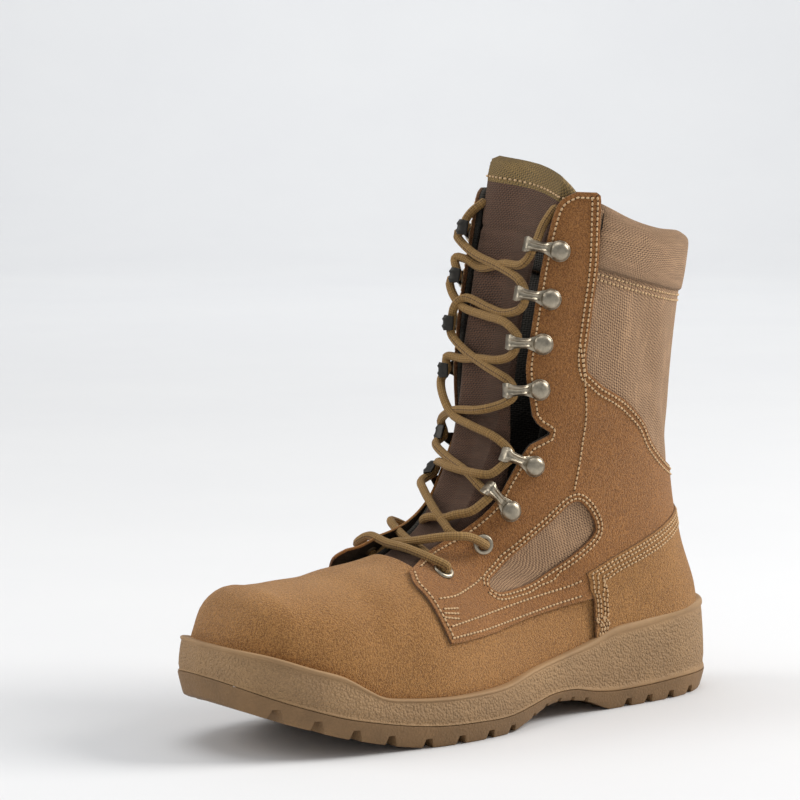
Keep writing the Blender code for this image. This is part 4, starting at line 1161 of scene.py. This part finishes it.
def hook_shape():
    """Pressed hook, mm: a ribbed neck that flares and rolls down at its tip, under a domed rivet."""
    mesh = bmesh.new()
    bmesh.ops.create_grid(mesh, x_segments=22, y_segments=48, size=.5)
    along = np.array([vert.co.y for vert in mesh.verts]) + .5
    rows, ahead = (smooth_values(HOOK_ARM, np.clip(along + step, 0, 1) * (len(HOOK_ARM) - 1)) for step in (0, .02))
    for vert, (way, rise, wide), (step_way, step_rise, _) in zip(mesh.verts, rows, ahead - rows):
        across = vert.co.x * 2
        length = math.hypot(step_way, step_rise) or 1
        up = Vector((-step_rise, 0, step_way)) / length if step_way or step_rise else Vector((1, 0, 0))
        neck = math.exp(-((way - NECK) / NECK_HALF) ** 4)
        ribs = neck * (math.exp(-((abs(across) - .52) / .2) ** 2) - .35)
        curl = -across ** 6 * neck
        vert.co = Vector((way, across * wide / 2, rise)) + up * (ribs + curl + .5)
    mesh.normal_update()
    if sum(face.normal.z for face in mesh.faces) < 0:
        bmesh.ops.reverse_faces(mesh, faces=mesh.faces)
    outer = set(mesh.faces)
    bmesh.ops.solidify(mesh, geom=mesh.faces[:], thickness=HOOK_SHEET)
    for face in mesh.faces:
        # Slot 1 is the sheet's underside and slot 2 the outside of its rolled tip; make_fittings gives them painted
        # shade.
        face.material_index = 1 if face not in outer else 2 * int(face.calc_center_median().x > ROLLED_TIP)
    return joined([mesh, turned(RIVET_PROFILE)])


def fitting_places():
    """Where each hook and eyelet sits, by kind, number from the top down, and side."""
    places = {}
    for side in (1, -1):
        for number, (y, z, *arm) in enumerate(hook_rows(side), 1):
            places["hook", number, side] = fitting_frame(y, z, side, QUARTER_TOP - SEAT, arm)
        for number, (y, z) in enumerate(EYELETS, 1):
            places["eyelet", number, side] = fitting_frame(y, z, side, QUARTER_TOP - SEAT)
    return places


FITTINGS = fitting_places()


def placed(shape, placing, name, material, replaced):
    """A fitting of its own, from a shape in mm."""
    mesh = bmesh.new()
    mesh.from_mesh(shape)
    bmesh.ops.transform(mesh, matrix=Matrix.Scale(MM, 4) @ placing, verts=mesh.verts)
    piece = finish_piece(mesh, name, material)
    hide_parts(replaced)


def make_fittings():
    """Every hook, eyelet and vent, each a piece of its own."""
    hook = kept_shape(hook_shape(), "hook")
    eyelet = kept_shape(turned(EYELET_PROFILE), "eyelet")
    vent = kept_shape(turned(VENT_PROFILE), "vent")
    screen = kept_shape(turned(SCREEN_PROFILE), "screen")
    for (kind, number, side), placing in FITTINGS.items():
        name = f"{kind}_{'lateral' if side > 0 else 'medial'}_{number}"
        if kind == "hook":
            # Undersides get painted shade everywhere; rolled tips get it only on the medial side.
            faces = [METAL_FACE, HOOK_SHADE, METAL_FACE if side > 0 else HOOK_SHADE]
            placed(hook, placing, f"{name}_pressed", faces, name)
        else:
            placed(eyelet, placing, f"{name}_rolled", METAL_FACE, name)
    for number, (y, z) in enumerate(VENTS, 1):
        name, placing = f"vent_medial_{number}", fitting_frame(y, z, -1, VENT_HEIGHT)
        placed(vent, placing, f"{name}_ring", WEBBING, name)
        placed(screen, placing, f"{name}_screen", LINING_FACE, name)


# ---------------------------------------------------------------- lace

LACE_HALF = 2.2          # half its thickness
LACE_AROUND = 12         # faces round it
LACE_PITCH = 2.1         # mm along the cord for one crossing of its braid
LACE_STRANDS = 6
# Where the lace lies between its fittings, mm. It starts as a bar over the lowest eyelets; its two ends
# then climb, each crossing to the fitting (kind, number, side) that follows its points.
LACE_BAR = ((21, -35, 85), (4, -37, 88), (-11, -38, 89), (-25, -38, 91), (-34, -38, 88), (-38, -37, 85))
LACE_ENDS = (
    ((((20, -30, 81), (7, -29, 86), (-16, -25, 91), (-34, -19, 96)), ("eyelet", 1, -1)),
     (((-14, -14, 98), (-5, -15, 101), (2, -13, 101), (8, -11, 103), (15, -7, 105), (19, -3, 109)), ("hook", 6, 1)),
     (((16, 1, 115), (3, 0, 123), (-16, 3, 128), (-31, 7, 133)), ("hook", 5, -1)),
     (((-33, 12, 145), (-19, 9, 151), (1, 9, 153), (12, 13, 156), (20, 15, 160)), ("hook", 4, 1)),
     (((17, 16, 168), (12, 14, 171), (1, 13, 175), (-16, 14, 181), (-27, 14, 188)), ("hook", 3, -1)),
     (((-27, 16, 203), (-21, 19, 207), (-5, 20, 203), (7, 20, 201), (17, 21, 203), (22, 21, 207)), ("hook", 2, 1)),
     (((18, 24, 214), (12, 24, 219), (-3, 24, 224), (-19, 24, 228), (-30, 24, 233), (-37, 25, 238)),
      ("hook", 1, -1)),
     (((-34, 28, 245), (-33, 32, 250), (-30, 38, 255)), None)),
    ((((-15, -33, 88), (-4, -33, 90), (6, -31, 92), (15, -27, 94), (22, -22, 95), (24, -14, 94)), ("eyelet", 1, 1)),
     (((12, -15, 94), (4, -15, 99), (-6, -13, 104), (-23, -7, 112), (-31, -2, 115)), ("hook", 6, -1)),
     (((-28, 6, 124), (-19, 2, 125), (-10, 0, 124), (10, 0, 123), (17, 4, 123), (20, 9, 127)), ("hook", 5, 1)),
     (((18, 13, 136), (11, 10, 141), (-2, 7, 145), (-17, 7, 149), (-26, 8, 157), (-32, 11, 165)), ("hook", 4, -1)),
     (((-31, 14, 177), (-17, 14, 177), (-6, 14, 178), (7, 15, 178), (15, 17, 180), (20, 17, 184)), ("hook", 3, 1)),
     (((19, 19, 191), (10, 18, 197), (-4, 18, 199), (-22, 18, 202), (-31, 18, 208), (-35, 19, 215)),
      ("hook", 2, -1)),
     (((-35, 22, 226), (-29, 24, 226), (-18, 26, 222), (0, 25, 225), (13, 25, 225), (19, 26, 229)), ("hook", 1, 1)),
     (((21, 30, 238), (20, 34, 244), (21, 38, 250), (21, 42, 254)), None)))
THROUGH_EYELET = ((0, 0, 3), (0, 0, -1.5), (0, 0, -5.5))      # way along its arm, aside, rise
ROUND_HOOK = ((13, 0, .7),)                                   # behind the neck, under the bent tip


def at_fitting(fitting):
    """Points of the lace where it goes through an eyelet or round a hook."""
    spots = THROUGH_EYELET if fitting[0] == "eyelet" else ROUND_HOOK
    return [FITTINGS[fitting] @ Vector(spot) for spot in spots]


def climb(crossings):
    """One end of the lace, from its lowest eyelet up to the throat's top, where it goes out of sight."""
    route = []
    for points, fitting in crossings:
        route += [Vector(point) for point in points]
        if fitting:
            route += at_fitting(fitting)
    return route


def lace_route():
    """The whole cord: down from one top end, over the lowest bar, and up to the other."""
    lateral, medial = (at_fitting(("eyelet", 2, side)) for side in (1, -1))
    bar = lateral[::-1] + [Vector(point) for point in LACE_BAR] + medial
    first, second = (climb(crossings) for crossings in LACE_ENDS)
    return first[::-1] + bar + second


def lace_mesh(route):
    """A round cord along a smooth line through the route's points."""
    path = smooth_line([tuple(point) for point in route], 1.0)
    ahead = np.gradient(path, axis=0)
    ahead /= np.linalg.norm(ahead, axis=1, keepdims=True)
    across = [np.cross(ahead[0], (0, 0, 1.0))]
    for step in ahead[1:]:
        turned_on = across[-1] - step * np.dot(across[-1], step)
        across.append(turned_on / np.linalg.norm(turned_on))
    across[0] /= np.linalg.norm(across[0])
    across = np.array(across)
    up = np.cross(ahead, across)
    count = len(path) - 1
    length = np.linalg.norm(np.diff(path, axis=0), axis=1).sum()

    def place(a, b):
        at = a * count
        low = np.clip(np.floor(at + 1e-6).astype(int), 0, count)
        turn = b * 2 * math.pi
        radius = LACE_HALF * np.where((low == 0) | (low == count), .55, 1.0)
        return path[low] + (across[low].T * np.cos(turn) * radius + up[low].T * np.sin(turn) * radius).T

    mesh = shaped_grid(count, LACE_AROUND, place, (length / LACE_PITCH, LACE_STRANDS), wrap=True)
    bmesh.ops.holes_fill(mesh, edges=mesh.edges[:], sides=0)
    bmesh.ops.recalc_face_normals(mesh, faces=mesh.faces)
    return mesh, length


def make_lace():
    """The lace, from one top end to the other."""
    mesh, length = lace_mesh(lace_route())
    piece = finish_piece(mesh, "lace_cord_run", LACE_FACE)
    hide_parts("lace")
    print("lace length, mm:", round(length))


# ---------------------------------------------------------------- seams

STITCH_PITCH = 2.5       # mm from one stitch to the next
TACK_PITCH = 1.9
STITCH = (2.05, 1.15, 1.1)      # length, width and thickness of a stitch
NEEDLE_HOLE = (.7, 1.15, .3)
HOLE_SINK = .08          # how far a needle hole lies under its seam
ON_FACE = .2             # height of a stitch over its panel's face
SEAM_SHARE = .95         # of the tongue's width that its seam takes
stitch_rows = []


def seam(flat, grow, pitch=STITCH_PITCH):
    """Note one row of stitches along a sheet line: each stitch, and the needle holes between them, where marks of
    painted shade go.
    """
    dense = even_line(flat, .6)
    way = np.concatenate([[0], np.cumsum(np.linalg.norm(np.diff(on_form(dense, grow), axis=0), axis=1))])
    at = np.linspace(0, way[-1], 2 * max(2, round(way[-1] / pitch)) + 1)
    spots = np.stack([np.interp(at, way, dense[:, axis]) for axis in (0, 1)], -1)
    stitch_rows.append((*frames(spots[1::2], grow), *frames(spots[::2], grow)))


def tongue_seam(down, rise):
    """A row of stitches across the tongue's front face, down mm under its top edge."""
    def row(across):
        here = tongue_spot(across, down, rise)
        tangent = tongue_spot(across + .01, down, rise) - here
        normal = np.cross(tangent, tongue_spot(across, down + .5, rise) - here)
        tangent, normal = (way / np.linalg.norm(way, axis=1, keepdims=True) for way in (tangent, normal))
        return here, normal * np.where(normal[:, 1:2] > 0, -1, 1), tangent

    places = np.linspace(-SEAM_SHARE, SEAM_SHARE, round(TONGUE_WIDE * SEAM_SHARE / STITCH_PITCH) + 1)
    stitch_rows.append((*row(.5 * (places[1:] + places[:-1])), *row(places)))


def small_pieces(name, shape, placings, material):
    """One mesh of many copies of a small shape: placings are 4 x 3 rows of three axes and a place, mm."""
    data = bpy.data.meshes.new(name)
    shape.verts.index_update()
    corners = np.array([(*vert.co, 1) for vert in shape.verts])
    everywhere = np.einsum("vk,nkx->nvx", corners, np.array(placings))
    shift = np.arange(len(placings))[:, None] * len(corners)
    faces = [np.array([vert.index for vert in face.verts]) + shift for face in shape.faces]
    data.from_pydata((everywhere.reshape(-1, 3) * MM).tolist(), [], [row for face in faces for row in face.tolist()])
    shape.free()
    finish_piece(data, name, material)


def seed_shape(length, width, height, around=6, rings=4):
    """A small closed grain, longest along X, mm."""
    shape = bmesh.new()
    bmesh.ops.create_uvsphere(shape, u_segments=around, v_segments=rings, radius=.5)
    bmesh.ops.rotate(shape, verts=shape.verts, matrix=Matrix.Rotation(math.pi / 2, 3, "Y"))
    bmesh.ops.scale(shape, verts=shape.verts, vec=(length, width, height))
    return shape


# Rows of stitches on the quarter, in side view: two along its low edge, one into the window's, and the bar tack
QUARTER_ROWS = (((-45, 51), (-9, 52.5), (36.5, 57.5), (54.5, 60)), ((-43.5, 56), (-5, 59), (37.5, 64), (53, 67.5)),
                ((-44, 67.8), (-30.5, 68), (-15.5, 71), (-8, 73.7)))
BAR_TACK = ((-44.2, 63.6), (-34, 62.8), (-36.1, 58.5), (-46.2, 60.3))
# Rows beside an edge, by how far they lie from it, mm
THROAT_INSET = FRONT_INSET = 2.8
BACK_INSETS, WINDOW_OUTSETS = (1.9, 4.7), (1.7, 3.8)
UNDER_CUFF_ROWS, UNDER_CUFF_FACE = (2.2, 5.0), .12
COUNTER_INSETS = (1.8, 3.7, 6.1, 8.0)
BEFORE_COUNTER = 3       # the quarter's rows end this far before the counter
EYESTAY_ROW = ((45.6, 113), (47.6, 122), (50.3, 136), (51.4, 147), (50.8, 160), (49.1, 172), (46.6, 186.5))


def plan_seams():
    """Every row of stitches, from the lines of the panels' edges."""
    top = QUARTER_TOP + ON_FACE
    for side in (1, -1):
        throat = to_sheet(np.concatenate([THROAT_LINE[:-1], STRIP_TOP_LINE]), side)
        seam(inset_line(throat, -THROAT_INSET * side)[1:-1], top)
        back = np.concatenate([to_sheet(STRIP_LINE[1:], side), onto_sheet(QUARTER_BACK_LINE, side)])
        for inset in BACK_INSETS:
            seam(inset_line(back, -inset * side)[:-1], top)
        window = to_sheet(np.concatenate([WINDOW_LINE, WINDOW_LINE[:1]]), side)
        for outset in WINDOW_OUTSETS:
            seam(inset_line(window, outset * side), top)
        for row in QUARTER_ROWS:
            line = smooth_line(row, 2)
            seam(to_sheet(line[line[:, 0] < COUNTER_FRONT[0][0] - BEFORE_COUNTER], side), top)
        corners = np.array(BAR_TACK)
        for share in (0, .5, 1):
            seam(to_sheet(corners[:2] + share * (corners[:1:-1] - corners[:2]), side), top, TACK_PITCH)
        seam(inset_line(to_sheet(QUARTER_FRONT_LINE, side), -FRONT_INSET * side), top)
        seam(to_sheet(smooth_line(EYESTAY_ROW, 2), side), top)
        cuff = onto_sheet(smooth_line(CUFF_SEAM, 2), side)
        for below in UNDER_CUFF_ROWS:
            seam(inset_line(cuff, -below * side), UNDER_CUFF_FACE)
        edge = np.concatenate([to_sheet(smooth_line(COUNTER_FRONT[::-1], 2), side),
                               onto_sheet(COUNTER_TOP_LINE, side)])
        for inset in COUNTER_INSETS:
            seam(inset_line(edge, -inset * side)[1:], COUNTER_TOP_FACE + ON_FACE)
    tongue_seam(BINDING_TALL - 1.2, TONGUE_HALF + .45)


def make_seams():
    """The stitches of every seam, and dark marks of painted shade in the needle holes between them."""
    plan_seams()
    threads, holes = [], []
    for here, normal, tangent, ends, end_normal, end_tangent in stitch_rows:
        threads += list(np.stack([tangent, np.cross(normal, tangent), normal, here], 1))
        holes += list(np.stack([end_tangent, np.cross(end_normal, end_tangent), end_normal,
                                ends - end_normal * HOLE_SINK], 1))
    small_pieces("stitches", seed_shape(*STITCH), threads, THREAD_FACE)
    # Dark seeds in the needle holes: painted shade.
    small_pieces("needle_holes", seed_shape(*NEEDLE_HOLE, 6, 3), holes, NEEDLE_SHADE_FACE)
    print("stitches:", len(threads))


# ---------------------------------------------------------------- sole

PLAN_POINTS = 160
# Rings from low to high: share of the height between the two lines, mm outside the plan
MIDSOLE_RINGS = ((0, -.6), (.02, -.2), (.05, -.6), (.1, -.9), (.2, -.5), (.4, -.7), (.6, -1.1), (.78, -1.6),
                 (.86, -1.9), (.88, -2.1), (.895, -1.75), (.92, -1.45), (.95, -1.45), (.975, -1.75), (.993, -2.4),
                 (1.0, -3.3), (.995, -4.6), (.985, -6.5))
UNDER_INSOLE = .5        # how far the midsole's inner floor lies under the insole
PEBBLED = (.05, .87)     # share of the wall's height that is pebbled
OUTSOLE_RINGS = ((0, -4.0), (.02, -3.0), (.12, -2.4), (.45, -1.4), (.8, -.5), (.93, -.2), (1, -.1))


def plan_ring(offset, count=PLAN_POINTS):
    """Closed plan of the sole, moved outwards by offset."""
    rows = np.array(SOLE_PLAN, float)
    sides = smooth_values(rows, np.linspace(0, len(rows) - 1, 400))
    ring = np.concatenate([sides[:, [1, 0]], sides[-2:0:-1, [2, 0]]])
    ring = even_line(np.concatenate([ring, ring[:1]]), np.linalg.norm(np.diff(ring, axis=0), axis=1).sum() / count)
    ring = ring[:-1]
    chord = np.roll(ring, -2, 0) - np.roll(ring, 2, 0)
    outward = np.stack([chord[:, 1], -chord[:, 0]], -1)
    outward /= np.linalg.norm(outward, axis=1, keepdims=True)
    outward *= np.sign(outward[len(ring) // 4, 0])
    return ring + outward * offset - (CENTRE_X, 0)


def ring_stack(rings, low, high):
    """Closed rings of the sole's plan, each extruded from the one before."""
    mesh = bmesh.new()
    bmesh.ops.create_circle(mesh, segments=len(plan_ring(0)), radius=1)
    loop = mesh.verts[:]
    for index, (share, offset) in enumerate(rings):
        if index:
            edges = [edge for edge in mesh.edges if edge.verts[0] in set(loop) and edge.verts[1] in set(loop)]
            made = bmesh.ops.extrude_edge_only(mesh, edges=edges)["geom"]
            fresh = [item for item in made if isinstance(item, bmesh.types.BMVert)]
            known = {old: new for new in fresh for edge in new.link_edges
                     for old in edge.verts if old in set(loop)}
            loop = [known[old] for old in loop]
        plan = plan_ring(offset)
        bottom, top = low(plan[:, 1]), high(plan[:, 1])
        for vert, (x, y), z in zip(loop, plan, bottom + (top - bottom) * share):
            vert.co = Vector((x, y, z)) * MM
    return mesh, loop


def height_line(column, raise_by=0.0):
    """The height of one line of the sole, as a function of y."""
    return lambda y: sole_height(y, column) + raise_by


def make_midsole():
    """Pebbled rubber wall with a smooth rolled lip, and the floor under the insole."""
    mesh, loop = ring_stack(MIDSOLE_RINGS, height_line("parting", .25), height_line("lip"))
    pebble = mesh.verts.layers.float.new("pebble")
    for vert in mesh.verts:
        low, high = (sole_height(vert.co.y / MM, column) for column in ("parting", "lip"))
        share = (vert.co.z / MM - low) / (high - low)
        vert[pebble] = float(np.clip((PEBBLED[1] - share) / .03, 0, 1) * np.clip((share - PEBBLED[0]) / .03, 0, 1))
    rim = [item for item in mesh.edges if item.verts[0] in set(loop) and item.verts[1] in set(loop)]
    for item in bmesh.ops.extrude_edge_only(mesh, edges=rim)["geom"]:
        if isinstance(item, bmesh.types.BMVert):
            item.co.z = (sole_height(item.co.y / MM, "floor") - UNDER_INSOLE) * MM
    bmesh.ops.holes_fill(mesh, edges=mesh.edges[:], sides=0)
    bmesh.ops.recalc_face_normals(mesh, faces=mesh.faces)
    piece = finish_piece(mesh, "midsole_wall", MIDSOLE_FACE)
    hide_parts("midsole")


# Grooves across the tread: y of the outer end, and how far back the inner end lies
GROOVES = ((-139, 5), (-121.5, 6), (-103, 7), (-84, 7), (-63, 6), (-43.5, 4), (-24, 2), (-7.5, 0),
           (82.5, -4), (97, -4), (112.5, -3), (128.5, -2))
LUG_DEPTH, GROOVE_WIDE = 4.5, (7.8, 3.4)                # width below the tread, and at the groove's floor
GROOVE_START, GROOVE_END, NOTCH_END = 76, 14.6, 26      # x from outside the sole to each inner end
ARCH_NOTCHES, NOTCH_DEPTH, NOTCH_WIDE = (10.5, 20.5, 30.5, 40.5, 50.5), 2.2, (3.4, 2.0)
LONG_GROOVE, LONG_SPANS = (11, 14.2), ((-131, -1), (77, 137))
MIDDLE_GROOVE, MIDDLE_SHIFT, MIDDLE_WIDE = 9.5, 8, (4.4, 3)
MIDDLE_DEPTH = LUG_DEPTH * .7
BELOW_TREAD = 3          # how far a cutter reaches below the tread
SOFT_LUG = .5            # rounding of the lugs' edges


def close_ends(mesh, rim):
    """Close a stack of rings, all of it in triangles, so that the grooves are cut from the same faces each time."""
    open_edges = [edge for edge in mesh.edges if edge.is_boundary]
    for at_rim in (False, True):
        bmesh.ops.triangle_fill(mesh, edges=[edge for edge in open_edges if (edge.verts[0] in rim) == at_rim],
                                use_beauty=True, normal=(0, 0, 1))
    bmesh.ops.triangulate(mesh, faces=mesh.faces)
    bmesh.ops.recalc_face_normals(mesh, faces=mesh.faces)


def make_outsole():
    """Tread rubber: its rim, lugs and grooves."""
    mesh, rim = ring_stack(OUTSOLE_RINGS, height_line("tread"), height_line("parting"))
    close_ends(mesh, set(rim))
    piece = finish_piece(mesh, "outsole_tread", OUTSOLE_FACE)
    for cutter in tread_cutters():
        cut = piece.modifiers.new("groove", "BOOLEAN")
        cut.operation, cut.solver, cut.object = "DIFFERENCE", "EXACT", cutter
    soften = piece.modifiers.new("soft edges", "BEVEL")
    soften.width, soften.segments = SOFT_LUG * MM, 2
    soften.limit_method, soften.angle_limit = "ANGLE", math.radians(40)
    bpy.context.view_layer.update()
    data = bpy.data.meshes.new_from_object(piece.evaluated_get(bpy.context.evaluated_depsgraph_get()))
    piece.modifiers.clear()
    piece.data = data
    data.shade_smooth()
    for cutter in [thing for thing in bpy.data.objects if thing.name.startswith("groove_cutter")]:
        bpy.data.objects.remove(cutter)
    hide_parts("outsole")


def wedge(mesh, start, end, wide, low, high):
    """Groove block that is wider at its foot, between two plan points."""
    start, end = Vector((*start, 0)), Vector((*end, 0))
    middle, along = (start + end) / 2, (end - start)
    turn = Matrix.Rotation(math.atan2(along.y, along.x), 4, "Z")
    for vert in bmesh.ops.create_cube(mesh, size=1)["verts"]:
        across, z = (wide[1], high) if vert.co.z > 0 else (wide[0], low)
        spot = turn @ Vector((vert.co.x * along.length, vert.co.y * across, 0))
        vert.co = Vector((middle.x + spot.x - CENTRE_X, middle.y + spot.y, z)) * MM


def long_wedge(mesh, x, wide, start, end):
    """Groove block along the tread, which it follows."""
    low = bmesh.ops.create_grid(mesh, x_segments=1, y_segments=round((end - start) / 8), size=.5)["verts"]
    known = set(low)
    made = bmesh.ops.extrude_face_region(mesh, geom=[face for face in mesh.faces if known.issuperset(face.verts)])
    top = [item for item in made["geom"] if isinstance(item, bmesh.types.BMVert)]
    for vert in [*low, *top]:
        y = start + (vert.co.y + .5) * (end - start)
        rise = -BELOW_TREAD if vert in known else LUG_DEPTH
        vert.co = Vector((x + vert.co.x * wide - CENTRE_X, y, sole_height(y, "tread") + rise)) * MM
    bmesh.ops.recalc_face_normals(mesh, faces=mesh.faces)


def tread_cutters():
    """Blocks for every groove; those in one set don't touch each other."""
    made = []
    for side in (1, -1):
        mesh = bmesh.new()
        for y, back in GROOVES:
            tread = float(sole_height(y, "tread"))
            wedge(mesh, (side * GROOVE_START, y), (side * GROOVE_END, y + back), GROOVE_WIDE, tread - BELOW_TREAD,
                  tread + LUG_DEPTH)
        for y in ARCH_NOTCHES:
            tread = float(sole_height(y, "tread"))
            wedge(mesh, (side * GROOVE_START, y), (side * NOTCH_END, y), NOTCH_WIDE, tread - 2, tread + NOTCH_DEPTH)
        made.append(mesh)
    mesh = bmesh.new()
    for y, back in GROOVES[1::2]:
        middle = y + back + MIDDLE_SHIFT
        tread = float(sole_height(middle, "tread"))
        wedge(mesh, (-MIDDLE_GROOVE, middle), (MIDDLE_GROOVE, middle), MIDDLE_WIDE, tread - BELOW_TREAD,
              tread + MIDDLE_DEPTH)
    made.append(mesh)
    mesh = bmesh.new()
    for side in (1, -1):
        for start, end in LONG_SPANS:
            long_wedge(mesh, side * sum(LONG_GROOVE) / 2, LONG_GROOVE[1] - LONG_GROOVE[0], start, end)
    made.append(mesh)
    for number, mesh in enumerate(made):
        cutter = finish_piece(mesh, f"groove_cutter_{number}", OUTSOLE_FACE, smooth=False, ride=False)
        cutter.hide_render = True
        yield cutter


# ---------------------------------------------------------------- studio

VIEW_TURN = math.atan2(CAMERA_AT[0] - CAMERA_TO[0], -(CAMERA_AT[1] - CAMERA_TO[1]))
FLOOR_FRONT, FLOOR_BACK, SWEEP, BACKDROP_TALL, FLOOR_HALF = -6, 3.4, 1.6, 7, 7      # m
# name, place, what it faces, width in m, watts, colour
LIGHTS = (("key", (.95, 1.75, 1.6), (0, 0, .12), 1.3, 49, (1, .985, .96)),
          ("toe side", (-1.2, -1.6, 1.2), (-.02, -.08, .08), 1.3, 15, (1, .99, .97)),
          ("overhead", (-.1, -.3, 2.3), (0, 0, .05), 1.6, 14, (1, 1, 1)),
          ("backdrop", (-1.9, 1.5, 2.8), (-4.1, 3.1, 1.1), 2.0, 54, (.98, .99, 1)))
SKY, SKY_STRENGTH = (.93, .96, 1, 1), .43


def make_studio():
    """Pale floor that curves up behind, with broad soft lights."""
    mesh = bmesh.new()
    curve = [(FLOOR_BACK + SWEEP * math.sin(turn), SWEEP - SWEEP * math.cos(turn))
             for turn in np.linspace(.1, math.pi / 2, 14)]
    line = [mesh.verts.new((-FLOOR_HALF, y, z)) for y, z in
            ((FLOOR_FRONT, 0), (FLOOR_BACK, 0), *curve, (FLOOR_BACK + SWEEP, BACKDROP_TALL))]
    edges = [mesh.edges.new(pair) for pair in zip(line, line[1:])]
    for item in bmesh.ops.extrude_edge_only(mesh, edges=edges)["geom"]:
        if isinstance(item, bmesh.types.BMVert):
            item.co.x = FLOOR_HALF
    bmesh.ops.rotate(mesh, verts=mesh.verts, matrix=Matrix.Rotation(VIEW_TURN, 3, "Z"))
    bmesh.ops.recalc_face_normals(mesh, faces=mesh.faces)
    paper = plain("studio paper", (.80, .80, .80), (.78, .78, .785), .9, .02, 3)
    paper.node_tree.nodes["Principled BSDF"].inputs["Specular IOR Level"].default_value = .2
    floor = finish_piece(mesh, "studio_floor", paper, ride=False)
    world = bpy.data.worlds.new("studio")
    bpy.context.scene.world = world
    world.use_nodes = True
    world.node_tree.nodes["Background"].inputs["Color"].default_value = SKY
    world.node_tree.nodes["Background"].inputs["Strength"].default_value = SKY_STRENGTH
    bpy.context.scene.view_settings.view_transform = "Standard"
    for name, place, target, size, power, colour in LIGHTS:
        lamp = bpy.data.lights.new(name, "AREA")
        lamp.shape, lamp.size, lamp.energy, lamp.color = "DISK", size, power, colour
        light = bpy.data.objects.new(name, lamp)
        bpy.context.scene.collection.objects.link(light)
        light.location = place
        light.rotation_euler = (Vector(target) - Vector(place)).to_track_quat("-Z", "Y").to_euler()


# ---------------------------------------------------------------- everything, in order

make_upper()
make_quarter("quarter_lateral", 1)
make_quarter("quarter_medial", -1)
make_counter()
make_backstay()
make_collar()
make_tongue()
make_gussets()
make_fittings()
make_lace()
make_seams()
make_midsole()
make_outsole()
make_studio()

insole = bpy.data.objects["insole"]
for slot in insole.material_slots:
    slot.material = LINING_FACE
